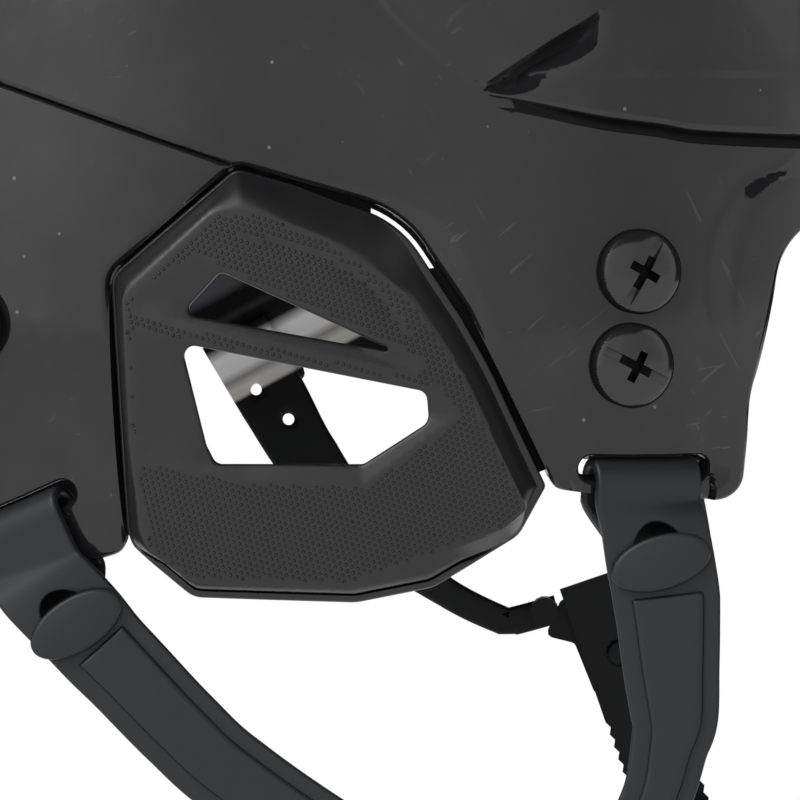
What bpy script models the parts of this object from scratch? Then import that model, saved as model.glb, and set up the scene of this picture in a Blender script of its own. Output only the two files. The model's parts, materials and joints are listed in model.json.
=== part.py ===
"""Batting helmet: open double-flap shell, vented ear guard on the right, liner, pads and chin harness.

Metres, +X to the front, +Y to the wearer's left, +Z up. The origin is midway between the ear canals.
"""

import math

import bmesh
import bpy
from mathutils import Matrix, Vector

MM = 0.001

# Shell: a rounded egg, wider than an ellipsoid, with flaps that drop almost straight at the ears.
SHELL_CENTRE = Vector((0.0, 0.0, 30 * MM))
HALF_FRONT = 125 * MM
HALF_BACK = 130 * MM
HALF_WIDTH = 104 * MM
HEIGHT_UP = 125 * MM
HEIGHT_DOWN = 150 * MM
ROUNDNESS = 2.25
WALL = 3.2 * MM
SHELL_CUTS = 11
GAP = 0.35 * MM

# Peak over the brow.
PEAK_REACH = 48 * MM
PEAK_HALF = 74 * MM
PEAK_ROOT_Z = 52 * MM
PEAK_DROP = 13 * MM
PEAK_THICK = 3.4 * MM

# Lower rim of the shell in side view: (x, z, corner radius), from the brow to the nape.
FLAP_EDGE = (
    (200, 42, 0),
    (104, 42, 16),
    (86, 30, 14),
    (79.5, 0, 30),
    (78, -19.8, 5.5),
    (43, -17.2, 2),
)
EAR_OPENING = (
    (26.5, 17, 14),
    (14, 36, 22),
    (-18, 45, 4),
    (-42.5, 24, 5),
    (-39.5, -29.5, 3),
)
NAPE_EDGE = (
    (-46, -31.5, 6),
    (-97, -52, 20),
    (-200, -52, 0),
)

# Ear guard: its outline below the shell, its crown over the shell's surface, and two vents.
GUARD_WALL = 2.2 * MM
GUARD_BOTTOM = (
    (40.3, -16.5, 2),
    (36.5, -26.5, 7),
    (20, -36.5, 8),
    (5, -39.5, 10),
    (-26.5, -38.6, 6),
    (-38.6, -28.5, 5),
)
GUARD_CROWN = 6.5 * MM
GUARD_EDGE_DROP = 0.6 * MM
GUARD_SLOPE = 8 * MM
UPPER_VENT = ((-20.3, 24.5, 1.5), (-27, 17.3, 1.5), (-25.5, 16, 1), (14.0, 8.9, 0.4))
LOWER_VENT = (
    (-28, 11, 2),
    (-23.2, -8.5, 2),
    (-21.4, -12, 2),
    (6.6, -12, 2),
    (19, -4, 2.5),
    (18.6, 1.8, 2),
)

# Slots that the straps loop through: centre (x, z), slant of the slot, and depth of web below it.
FRONT_SLOT = (60.2 * MM, -13.4 * MM)
REAR_SLOT = (-61.0 * MM, -22.4 * MM)
REAR_SLANT = math.radians(22)
SLOT_LENGTH = 27 * MM
SLOT_HEIGHT = 5.0 * MM
FRONT_WEB = 5.4 * MM
REAR_WEB = 13.4 * MM

# Straps: soft mouldings with a loop, a slotted hole and an oval button on the tail.
STRAP_THICK = 2.2 * MM
HANG_Y = 92.8 * MM
FRONT_PATH = (
    (61.6, -24, 20.6),
    (62.8, -31, 20.7),
    (64.0, -38.4, 20.5),
    (64.9, -51.7, 18.4),
    (65.5, -60.8, 16.7),
    (64.5, -66.3, 14.8),
    (62.1, -76, 13.4),
    (55.5, -90, 13),
    (49.5, -99, 13),
)
REAR_PATH = (
    (-54.8, -35.5, 19.8),
    (-47.9, -42.8, 18.6),
    (-43.7, -47.6, 18),
    (-38.8, -52.6, 17.6),
    (-28.9, -62.9, 17.2),
    (-18.2, -72.4, 16.9),
    (5, -87, 15),
    (34, -101.5, 13),
)
BUTTON_LENGTH = 19.6 * MM
BUTTON_WIDTH = 10.4 * MM
BUTTON_THICK = 2.4 * MM
FRONT_BUTTON = (62.9 * MM, -31.0 * MM, math.radians(17))
REAR_BUTTON = (-48.6 * MM, -42.9 * MM, math.radians(32))
HOLE_LENGTH = 10.5 * MM
HOLE_WIDTH = 8.6 * MM

# Bend lines of the two harnesses: height at x of the front strap, and its slope towards the rear.
RIGHT_BEND = (Vector((64.0, -92.8, -38.4)) * MM, Vector((-43.7, -92.8, -51.0)) * MM)
LEFT_BEND = (Vector((64.0, 92.8, -38.4)) * MM, Vector((9.0, 92.8, -38.4)) * MM)
BEND_GAP = 1.5 * MM
TAIL_GAP = 0.9 * MM
LOOP_SLACK = 1.6 * MM

# Left side: hanger inside the shell, rear band, yoke, toothed chin strap and chin cup.
HANGER_OUTLINE = ((-41, 57, 4), (13, 57, 4), (15, 28, 6), (10, 1.5, 3), (-38.5, 10.5, 3))
BAND_PATH = (
    (-31, 8, 12.2),
    (-21, -6, 12.2),
    (-12, -18, 11.6),
    (2, -33.5, 8.5),
    (17, -45, 6.6),
    (30.6, -51.2, 6.3),
    (41.0, -49.2, 6.3),
)
YOKE_THICK = 2.0 * MM
CHIN_Y = 88.0 * MM
CHIN_START = Vector((48.9, 88.0, -42.6)) * MM
CHIN_DIRECTION = Vector((0.326, 0.0, -0.946))
CHIN_WIDTH = 15.6 * MM
CHIN_LENGTH = 142 * MM
CHIN_THICK = 2.0 * MM
TOOTH_PITCH = 2.8 * MM
TOOTH_DEPTH = 0.7 * MM
CUP_AT = 80 * MM
CUP_LENGTH = 60 * MM
CUP_WIDTH = 42 * MM
CUP_DEPTH = 13 * MM

# Fasteners.
SCREW_HEAD = 16.2 * MM
SCREW_DOME = 3.0 * MM
SCREW_SHANK = 5.0 * MM
FRONT_SCREWS = ((58.6 * MM, 24.4 * MM), (57.2 * MM, 6.6 * MM))
REAR_SCREWS = ((-70.0 * MM, 14.3 * MM),)

BLACK_GLOSS = ("shell_gloss_black", (0.012, 0.012, 0.014), 0.12, 0.0)
BLACK_SATIN = ("guard_satin_black", (0.03, 0.03, 0.033), 0.5, 0.0)
STRAP_GREY = ("strap_dark_grey", (0.028, 0.031, 0.038), 0.55, 0.0)
FOAM_GREY = ("foam_dark_grey", (0.035, 0.035, 0.038), 0.9, 0.0)
PAD_CLOTH = ("pad_cloth", (0.02, 0.02, 0.022), 0.95, 0.0)
SCREW_BLACK = ("screw_gloss_black", (0.015, 0.015, 0.018), 0.18, 0.0)
STEEL = ("plain_steel", (0.6, 0.6, 0.6), 0.35, 1.0)
CUP_BLACK = ("cup_black", (0.02, 0.02, 0.022), 0.35, 0.0)

SIDES = {"right": -1, "left": 1}


# ---------------------------------------------------------------- scene, materials and mesh helpers


def clear_scene():
    for existing in list(bpy.data.objects):
        bpy.data.objects.remove(existing)


def new_collection(name):
    collection = bpy.data.collections.new(name)
    bpy.context.scene.collection.children.link(collection)
    return collection


def material(finish):
    name, colour, roughness, metallic = finish
    found = bpy.data.materials.get(name)
    if found:
        return found
    made = bpy.data.materials.new(name)
    made.use_nodes = True
    shader = made.node_tree.nodes["Principled BSDF"]
    shader.inputs["Base Color"].default_value = (*colour, 1.0)
    shader.inputs["Roughness"].default_value = roughness
    shader.inputs["Metallic"].default_value = metallic
    made.diffuse_color = (*colour, 1.0)
    return made


def place(name, mesh, finish):
    """A finished sub-part, from a bmesh or a mesh."""
    if isinstance(mesh, bmesh.types.BMesh):
        data = bpy.data.meshes.new(name)
        bmesh.ops.recalc_face_normals(mesh, faces=mesh.faces)
        mesh.to_mesh(data)
        mesh.free()
    else:
        data = mesh
    data.shade_smooth()
    data.set_sharp_from_angle(angle=math.radians(35))
    data.materials.clear()
    data.materials.append(material(finish))
    sub_part = bpy.data.objects.new(name, data)
    parts.objects.link(sub_part)
    return sub_part


def cutter(name, mesh):
    """A helper solid for Booleans, kept out of the render."""
    data = bpy.data.meshes.new(name)
    bmesh.ops.recalc_face_normals(mesh, faces=mesh.faces)
    mesh.to_mesh(data)
    mesh.free()
    tool = bpy.data.objects.new(name, data)
    tool.hide_render = True
    tool.display_type = "WIRE"
    cutters.objects.link(tool)
    return tool


def combine(target, operation, tool):
    """Applies one exact Boolean to the target's mesh."""
    modifier = target.modifiers.new(operation.lower(), "BOOLEAN")
    modifier.operation = operation
    modifier.solver = "EXACT"
    modifier.object = tool
    graph = bpy.context.evaluated_depsgraph_get()
    result = bpy.data.meshes.new_from_object(target.evaluated_get(graph))
    target.modifiers.clear()
    target.data = result


def weld(target, distance=0.01 * MM):
    edit = bmesh.new()
    edit.from_mesh(target.data)
    bmesh.ops.remove_doubles(edit, verts=edit.verts, dist=distance)
    bmesh.ops.dissolve_degenerate(edit, edges=edit.edges, dist=distance)
    edit.to_mesh(target.data)
    edit.free()


def rounded(corners, steps=4):
    """Outline points in metres from (x mm, z mm, radius mm) corners, each rounded by an arc."""
    outline = []
    count = len(corners)
    for index, (x, z, radius) in enumerate(corners):
        corner = Vector((x, z)) * MM
        before = Vector(corners[index - 1][:2]) * MM
        after = Vector(corners[(index + 1) % count][:2]) * MM
        into = (before - corner).normalized()
        out_of = (after - corner).normalized()
        half = 0.5 * into.angle(out_of)
        if radius == 0 or half > math.radians(89):
            outline.append(corner)
            continue
        set_back = radius * MM / math.tan(half)
        centre = corner + (into + out_of).normalized() * radius * MM / math.sin(half)
        start = corner + into * set_back - centre
        end = corner + out_of * set_back - centre
        turn = start.angle_signed(end)
        for step in range(steps + 1):
            share = turn * step / steps
            # angle_signed is clockwise positive, so the start is turned the other way.
            outline.append(centre + Matrix.Rotation(-share, 2) @ start)
    return outline


def prism(name, outline, y_from, y_to):
    """Cutter: a side-view outline carried along Y."""
    curve = bpy.data.curves.new(name, "CURVE")
    curve.dimensions = "2D"
    curve.fill_mode = "BOTH"
    curve.extrude = abs(y_to - y_from) / 2
    spline = curve.splines.new("POLY")
    spline.points.add(len(outline) - 1)
    for point, (x, z) in zip(spline.points, outline):
        point.co = (x, z, 0, 1)
    spline.use_cyclic_u = True
    flat = bpy.data.objects.new(name + "_outline", curve)
    cutters.objects.link(flat)
    middle = Matrix.Translation((0, (y_from + y_to) / 2, 0))
    flat.matrix_world = middle @ Matrix.Rotation(math.pi / 2, 4, "X")
    bpy.context.view_layer.update()
    graph = bpy.context.evaluated_depsgraph_get()
    mesh = bpy.data.meshes.new_from_object(flat.evaluated_get(graph))
    mesh.transform(flat.matrix_world)
    bpy.data.objects.remove(flat)
    solid = bmesh.new()
    solid.from_mesh(mesh)
    bpy.data.meshes.remove(mesh)
    bmesh.ops.remove_doubles(solid, verts=solid.verts, dist=0.001 * MM)
    return cutter(name, solid)


def box(low, high):
    """A bmesh block between two corners."""
    block = bmesh.new()
    middle = (Vector(low) + Vector(high)) / 2
    size = Vector(high) - Vector(low)
    matrix = Matrix.Translation(middle) @ Matrix.Diagonal((*size, 1))
    bmesh.ops.create_cube(block, size=1, matrix=matrix)
    return block


def rod(start, end, radius, sides=20):
    """A bmesh cylinder between two points."""
    start, end = Vector(start), Vector(end)
    along = end - start
    turn = along.to_track_quat("Z", "Y").to_matrix().to_4x4()
    solid = bmesh.new()
    bmesh.ops.create_cone(
        solid,
        cap_ends=True,
        segments=sides,
        radius1=radius,
        radius2=radius,
        depth=along.length,
        matrix=Matrix.Translation((start + end) / 2) @ turn,
    )
    return solid


def turned(profile, place_at, sides=28):
    """A bmesh turned about Z from (radius, height) points that start and end on the axis."""
    solid = bmesh.new()
    rings = []
    for radius, height in profile:
        if radius == 0:
            rings.append([solid.verts.new((0, 0, height))])
            continue
        angles = [2 * math.pi * index / sides for index in range(sides)]
        rings.append([solid.verts.new((radius * math.cos(a), radius * math.sin(a), height)) for a in angles])
    for low, high in zip(rings, rings[1:]):
        for index in range(sides):
            following = (index + 1) % sides
            corners = [low[index % len(low)], low[following % len(low)]]
            corners += [high[following % len(high)], high[index % len(high)]]
            solid.faces.new(list(dict.fromkeys(corners)))
    bmesh.ops.transform(solid, matrix=place_at, verts=solid.verts)
    return solid


# ---------------------------------------------------------------- the shell's surface


def surface_reach(direction, inset):
    """Distance from the shell's centre to its surface, moved in by inset, along a unit direction."""
    long_half = (HALF_FRONT if direction.x > 0 else HALF_BACK) - inset
    high_half = (HEIGHT_UP if direction.z > 0 else HEIGHT_DOWN) - inset
    wide_half = HALF_WIDTH - inset
    total = abs(direction.x / long_half) ** ROUNDNESS
    total += abs(direction.y / wide_half) ** ROUNDNESS
    total += abs(direction.z / high_half) ** ROUNDNESS
    return total ** (-1 / ROUNDNESS)


def side_depth(x, z, inset=0.0):
    """Half width of the shell at a place in side view."""
    long_half = (HALF_FRONT if x > 0 else HALF_BACK) - inset
    rise = z - SHELL_CENTRE.z
    high_half = (HEIGHT_UP if rise > 0 else HEIGHT_DOWN) - inset
    left = 1 - abs(x / long_half) ** ROUNDNESS - abs(rise / high_half) ** ROUNDNESS
    return (HALF_WIDTH - inset) * max(left, 0.0) ** (1 / ROUNDNESS)


def side_frame(x, z, side):
    """Point on the shell's side with its unit front, outward and up directions."""
    step = 0.5 * MM
    point = Vector((x, side * side_depth(x, z), z))
    ahead = Vector((x + step, side * side_depth(x + step, z), z)) - point
    above = Vector((x, side * side_depth(x, z + step), z + step)) - point
    outward = ahead.cross(above).normalized()
    if outward.y * side < 0:
        outward = -outward
    ahead.normalize()
    return point, ahead, outward


def egg(inset, cuts):
    """Closed surface of the shell moved in by inset: a cube's grid thrown onto it."""
    solid = bmesh.new()
    bmesh.ops.create_cube(solid, size=2)
    bmesh.ops.subdivide_edges(solid, edges=solid.edges, cuts=cuts, use_grid_fill=True)
    for vert in solid.verts:
        # The tangent spreads the grid evenly over the sphere.
        even = Vector([math.tan(value * math.pi / 4) for value in vert.co])
        direction = even.normalized()
        vert.co = SHELL_CENTRE + direction * surface_reach(direction, inset)
    return solid


def hollow_egg(name, outer_inset, inner_inset, cuts, finish):
    hollow = place(name, egg(outer_inset, cuts), finish)
    combine(hollow, "DIFFERENCE", cutter(name + "_inside", egg(inner_inset, cuts)))
    return hollow


# ---------------------------------------------------------------- shell


def slot_cutter(name, centre, slant, side):
    """Rounded slot through the wall, square to the shell's surface."""
    point, ahead, outward = side_frame(*centre, side)
    up = outward.cross(ahead) if side > 0 else ahead.cross(outward)
    if up.z < 0:
        up = -up
    along = (ahead * math.cos(slant) + up * math.sin(slant)).normalized()
    radius = SLOT_HEIGHT / 2
    reach = SLOT_LENGTH / 2 - radius
    depth = 9 * MM
    solid = bmesh.new()
    across = outward.cross(along)
    rim = []
    for end in (1, -1):
        for step in range(9):
            angle = math.pi * step / 8 - math.pi / 2
            out, over = end * (reach + radius * math.cos(angle)), end * radius * math.sin(angle)
            rim.append(point + along * out + across * over)
    inner = [solid.verts.new(place_on - outward * depth) for place_on in rim]
    outer = [solid.verts.new(place_on + outward * depth) for place_on in rim]
    solid.faces.new(inner)
    solid.faces.new(outer)
    for index in range(len(rim)):
        following = (index + 1) % len(rim)
        solid.faces.new((inner[index], inner[following], outer[following], outer[index]))
    return cutter(name, solid)


def peak_solid():
    """Peak: a plate that leaves the brow, drops forward and curls down at its sides."""
    columns, rows = 16, 6
    solid = bmesh.new()
    sheets = []
    for thickness in (0.0, -PEAK_THICK):
        sheet = []
        for column in range(columns + 1):
            share = 2 * column / columns - 1
            side = share * PEAK_HALF
            # The root follows the shell's front, just inside its wall.
            root = HALF_FRONT * (1 - abs(side / HALF_WIDTH) ** ROUNDNESS) ** (1 / ROUNDNESS) - 5 * MM
            reach = PEAK_REACH * (1 - abs(share) ** 2.6) ** 0.5 + 5.5 * MM
            line = []
            for row in range(rows + 1):
                out = row / rows
                height = PEAK_ROOT_Z - PEAK_DROP * out - 9 * MM * share**2 * (0.35 + 0.65 * out)
                line.append(solid.verts.new((root + reach * out, side, height + thickness)))
            sheet.append(line)
        sheets.append(sheet)
    top, bottom = sheets
    for column in range(columns):
        for row in range(rows):
            for near, far in ((sheet[column], sheet[column + 1]) for sheet in sheets):
                solid.faces.new((near[row], near[row + 1], far[row + 1], far[row]))
    for column in range(columns):
        for row in (0, rows):
            upper = top[column][row], top[column + 1][row]
            solid.faces.new((*upper, bottom[column + 1][row], bottom[column][row]))
    for column in (0, columns):
        for row in range(rows):
            upper = top[column][row], top[column][row + 1]
            solid.faces.new((*upper, bottom[column][row + 1], bottom[column][row]))
    return solid


def rim_outline():
    """Everything below the shell's rim in side view, with the ear openings as notches."""
    corners = FLAP_EDGE + EAR_OPENING + NAPE_EDGE + ((-200, -200, 0), (200, -200, 0))
    return rounded(corners)


def make_shell():
    shell = place("shell", egg(0.0, SHELL_CUTS), BLACK_GLOSS)
    combine(shell, "UNION", cutter("peak_form", peak_solid()))
    combine(shell, "DIFFERENCE", cutter("head_space", egg(WALL, SHELL_CUTS)))
    combine(shell, "DIFFERENCE", prism("below_rim", rim_outline(), -200 * MM, 200 * MM))
    for side_name, side in SIDES.items():
        for end, centre, slant in (("front", FRONT_SLOT, 0.0), ("rear", REAR_SLOT, REAR_SLANT)):
            if (side_name, end) == ("left", "rear"):
                continue
            combine(shell, "DIFFERENCE", slot_cutter(f"{side_name}_{end}_slot", centre, slant, side))
        for place_index, centre in enumerate(FRONT_SCREWS + REAR_SCREWS):
            point, _, outward = side_frame(*centre, side)
            hole = rod(point - outward * 9 * MM, point + outward * 9 * MM, SCREW_SHANK / 2 + GAP)
            combine(shell, "DIFFERENCE", cutter(f"{side_name}_screw_hole_{place_index}", hole))
    weld(shell)
    return shell


# ---------------------------------------------------------------- ear guard


def inside_distance(x, z, outline):
    """Distance from a place to an outline, positive inside it."""
    place_at = Vector((x, z))
    nearest = 1.0
    inside = False
    for start, end in zip(outline, outline[1:] + outline[:1]):
        edge = end - start
        share = max(0.0, min(1.0, (place_at - start).dot(edge) / max(edge.length_squared, 1e-12)))
        nearest = min(nearest, (place_at - start - edge * share).length)
        if (start.y > z) != (end.y > z):
            crossing = start.x + (z - start.y) * (end.x - start.x) / (end.y - start.y)
            inside = inside != (x < crossing)
    return nearest if inside else -nearest


def guard_outline(margin):
    """Outline of the guard: the ear opening less a margin, closed by the guard's own lower edge."""
    corners = [(43 - 1.0, -16.5, 2), *EAR_OPENING[:4], (-39.8, -25, 4), *reversed(GUARD_BOTTOM[1:])]
    outline = rounded(corners)
    middle = sum(outline, Vector((0, 0))) / len(outline)
    return [middle + (point - middle) * (1 - margin / (point - middle).length) for point in outline]


def guard_depth(x, z, outline):
    """Half width of the guard's outer face: a crown that rolls down to the opening's edge."""
    inside = max(0.0, inside_distance(x, z, outline))
    share = min(1.0, inside / GUARD_SLOPE)
    roll = math.sqrt(max(0.0, 1 - (1 - share) ** 2))
    return side_depth(x, z) - GUARD_EDGE_DROP + GUARD_CROWN * roll


def make_guard():
    outline = guard_outline(0.9 * MM)
    columns, rows = 19, 19
    low_x, high_x, low_z, high_z = -46 * MM, 45 * MM, -43 * MM, 48 * MM
    face = bmesh.new()
    bmesh.ops.create_grid(face, x_segments=columns, y_segments=rows, size=0.5)
    for vert in face.verts:
        x = low_x + (vert.co.x + 0.5) * (high_x - low_x)
        z = low_z + (vert.co.y + 0.5) * (high_z - low_z)
        vert.co = Vector((x, -guard_depth(x, z, outline), z))
    data = bpy.data.meshes.new("right_ear_guard")
    face.to_mesh(data)
    face.free()
    guard = place("right_ear_guard", data, BLACK_SATIN)
    wall = guard.modifiers.new("wall", "SOLIDIFY")
    wall.thickness = GUARD_WALL
    wall.offset = 1 if data.polygons[0].normal.y > 0 else -1
    graph = bpy.context.evaluated_depsgraph_get()
    solid = bpy.data.meshes.new_from_object(guard.evaluated_get(graph))
    guard.modifiers.clear()
    guard.data = solid
    combine(guard, "INTERSECT", prism("guard_outline", outline, -130 * MM, -80 * MM))
    for name, corners in (("upper_vent", UPPER_VENT), ("lower_vent", LOWER_VENT)):
        combine(guard, "DIFFERENCE", prism(name, rounded(corners, 3), -130 * MM, -80 * MM))
    weld(guard)
    return guard


def make_guard_frame():
    """Frame behind the shell that the guard's edge is clamped to."""
    outer = [Vector((point.x * 1.13, point.y * 1.13)) for point in guard_outline(0.0)]
    outer = [Vector((min(point.x, 45.5 * MM), min(48.5 * MM, max(point.y, -24 * MM)))) for point in outer]
    inner = guard_outline(4.5 * MM)
    frame = hollow_egg("ear_guard_frame", WALL + GAP, WALL + GAP + 1.8 * MM, 11, BLACK_SATIN)
    combine(frame, "INTERSECT", prism("frame_outer", outer, -130 * MM, -60 * MM))
    combine(frame, "DIFFERENCE", prism("frame_inner", inner, -131 * MM, -59 * MM))
    weld(frame)
    return frame


# ---------------------------------------------------------------- liner and pads


def liner_piece(name, insets, outline, y_range, finish, cuts=7):
    """Segment of a layer inside the shell, cut out in side view."""
    piece = hollow_egg(name, insets[0] * MM, insets[1] * MM, cuts, finish)
    low, high = y_range
    combine(piece, "INTERSECT", prism(name + "_region", rounded(outline, 3), low * MM, high * MM))
    weld(piece)
    return piece


def make_liner():
    foam = (4.2, 13.5)
    pad = (14.2, 20.5)
    ends = 140
    both = (-ends, ends)
    front = ((31, 50, 0), (140, 50, 0), (140, 94, 0), (31, 94, 0))
    liner_piece("front_foam", foam, front, both, FOAM_GREY)
    crown = ((-140, 96, 0), (140, 96, 0), (140, 170, 0), (-140, 170, 0))
    liner_piece("crown_foam", foam, crown, both, FOAM_GREY)
    rear = ((-140, -44, 0), (-100, -44, 4), (-84, -12, 4), (-50, 4, 4), (-50, 94, 0), (-140, 94, 0))
    back = liner_piece("rear_foam", foam, rear, both, FOAM_GREY)
    for side_name, side in SIDES.items():
        reach = (0, ends) if side > 0 else (-ends, 0)
        bottom = 61 if side > 0 else 52
        block = ((-48, bottom, 3), (29, bottom, 3), (29, 94, 3), (-48, 94, 3))
        liner_piece(f"{side_name}_side_foam", foam, block, reach, FOAM_GREY)
        jaw = ((50, -5, 4), (74, -5, 5), (76, 32, 5), (46, 36, 6))
        cheek = liner_piece(f"{side_name}_jaw_pad", (4.2, 15), jaw, reach, PAD_CLOTH, 11)
        for place_index, centre in enumerate(FRONT_SCREWS + REAR_SCREWS):
            point, _, outward = side_frame(*centre, side)
            pocket = cutter(
                f"{side_name}_nut_pocket_{place_index}",
                rod(point - outward * 12 * MM, point + outward * 4 * MM, 6.6 * MM),
            )
            combine(cheek if centre in FRONT_SCREWS else back, "DIFFERENCE", pocket)
        weld(cheek)
        weld(back)
    brow = ((45, 52, 0), (140, 52, 0), (140, 72, 0), (45, 72, 0))
    liner_piece("brow_pad", pad, brow, both, PAD_CLOTH)
    nape = ((-140, -34, 0), (-98, -34, 3), (-88, 8, 3), (-140, 8, 0))
    liner_piece("nape_pad", pad, nape, both, PAD_CLOTH)
    top = ((-38, 100, 0), (38, 100, 0), (38, 170, 0), (-38, 170, 0))
    liner_piece("crown_pad", pad, top, (-40, 40), PAD_CLOTH)


# ---------------------------------------------------------------- screws and nuts


def facing(point, outward):
    """Matrix that puts a turned piece at a point with its +Z outward."""
    return Matrix.Translation(point) @ outward.to_track_quat("Z", "Y").to_matrix().to_4x4()


def screw_profile():
    """Domed head with a short rim, and a plain shank."""
    head = SCREW_HEAD / 2
    rim = 0.9 * MM
    dome = []
    for step in range(5):
        angle = 0.5 * math.pi * step / 4
        dome.append((head * math.cos(angle) if step < 4 else 0, rim + SCREW_DOME * math.sin(angle)))
    shank = SCREW_SHANK / 2
    return [(0, -8 * MM), (shank, -8 * MM), (shank, 0), (head, 0), *dome]


def nut_profile():
    """Tee nut: a flange against the wall and a barrel round the screw."""
    bore = SCREW_SHANK / 2 + GAP
    barrel = 4.0 * MM
    flange = 5.8 * MM
    plate, length = -1.2 * MM, -5.5 * MM
    return [(bore, 0), (flange, 0), (flange, plate), (barrel, plate), (barrel, length), (bore, length)]


def ring(profile, place_at, sides=28):
    """A bmesh turned about Z from a closed (radius, height) loop clear of the axis."""
    solid = bmesh.new()
    rows = []
    angles = [2 * math.pi * index / sides for index in range(sides)]
    for radius, height in profile:
        circle = [(radius * math.cos(a), radius * math.sin(a), height) for a in angles]
        rows.append([solid.verts.new(corner) for corner in circle])
    for low, high in zip(rows, rows[1:] + rows[:1]):
        for index in range(sides):
            following = (index + 1) % sides
            solid.faces.new((low[index], low[following], high[following], high[index]))
    bmesh.ops.transform(solid, matrix=place_at, verts=solid.verts)
    return solid


def make_screws():
    places = {"front_upper": FRONT_SCREWS[0], "front_lower": FRONT_SCREWS[1], "rear": REAR_SCREWS[0]}
    for side_name, side in SIDES.items():
        for end, centre in places.items():
            point, _, outward = side_frame(*centre, side)
            head = facing(point + outward * GAP, outward)
            place(f"{side_name}_{end}_screw", turned(screw_profile(), head, 16), SCREW_BLACK)
            seat = point - outward * (WALL + GAP + 0.6 * MM)
            place(f"{side_name}_{end}_nut", ring(nut_profile(), facing(seat, outward), 16), STEEL)


# ---------------------------------------------------------------- straps


def smooth(points, steps):
    """Catmull-Rom curve through a list of vectors."""
    curve = []
    for index in range(len(points) - 1):
        before = points[max(index - 1, 0)]
        start, end = points[index], points[index + 1]
        after = points[min(index + 2, len(points) - 1)]
        for step in range(steps):
            t = step / steps
            curve.append(
                0.5
                * (
                    2 * start
                    + (end - before) * t
                    + (2 * before - 5 * start + 4 * end - after) * t**2
                    + (3 * start - before - 3 * end + after) * t**3
                )
            )
    curve.append(points[-1])
    return curve


def ribbon(stations):
    """Loft of rectangles from (centre, across, width, thickness) stations."""
    solid = bmesh.new()
    rows = []
    for index, (centre, across, width, thickness) in enumerate(stations):
        before = stations[max(index - 1, 0)][0]
        after = stations[min(index + 1, len(stations) - 1)][0]
        forward = (after - before).normalized()
        outward = across.cross(forward).normalized()
        side = forward.cross(outward).normalized()
        half, thick = width / 2, thickness / 2
        corners = ((-half, -thick), (half, -thick), (half, thick), (-half, thick))
        rows.append([solid.verts.new(centre + side * u + outward * v) for u, v in corners])
    for low, high in zip(rows, rows[1:]):
        for index in range(4):
            following = (index + 1) % 4
            solid.faces.new((low[index], low[following], high[following], high[index]))
    solid.faces.new(rows[0])
    solid.faces.new(rows[-1])
    bmesh.ops.triangulate(solid, faces=solid.faces)
    return solid


def strap_stations(path, slot, slant, web, side):
    """Stations of a buttoned strap: up outside the flap, through the slot, down behind the web."""
    point, ahead, outward = side_frame(*slot, side)
    up = ahead.cross(outward) * side
    along = (ahead * math.cos(slant) + up * math.sin(slant)).normalized()
    rise = (up * math.cos(slant) - ahead * math.sin(slant)).normalized()
    if side > 0:
        along = -along
    lead = STRAP_THICK / 2 + GAP
    turn_radius = (WALL + LOOP_SLACK) / 2 + lead
    lift = -SLOT_HEIGHT / 2 - 0.45 * MM
    depth = -(WALL + LOOP_SLACK) / 2
    legs = -turn_radius + depth
    hang = [Vector((x * MM, side * HANG_Y, z * MM)) for x, z, _ in path]
    widths = [width * MM for _, _, width in path]
    loop = []
    for step in range(1, 8):
        angle = math.pi * step / 8
        loop.append((depth + turn_radius * math.cos(angle), lift + turn_radius * math.sin(angle)))
    loop += [(legs, lift), (legs, lift - web * 0.5), (legs, -web - 2.0 * MM)]
    top_width = widths[0] + 0.6 * MM
    stations = []
    legs_out = [point + outward * lead + rise * height for height in (lift - web * 0.55, lift)]
    curve = smooth([*reversed(hang), *legs_out], 3)
    spread = list(reversed(widths)) + [top_width, top_width]
    for index, centre in enumerate(curve):
        share = index / 3
        low = int(share)
        width = spread[low] + (spread[min(low + 1, len(spread) - 1)] - spread[low]) * (share - low)
        forward = curve[min(index + 1, len(curve) - 1)] - curve[max(index - 1, 0)]
        flat = forward.cross(Vector((0, 1, 0))).normalized()
        if flat.x * side > 0:
            flat = -flat
        near = max(0.0, min(1.0, 1 - (len(curve) - 4 - index) / 7))
        stations.append((centre, flat.lerp(along, near).normalized(), width, STRAP_THICK))
    for v, w in loop:
        stations.append((point + outward * v + rise * w, along, top_width, STRAP_THICK))
    return stations, curve, along, rise


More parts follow.
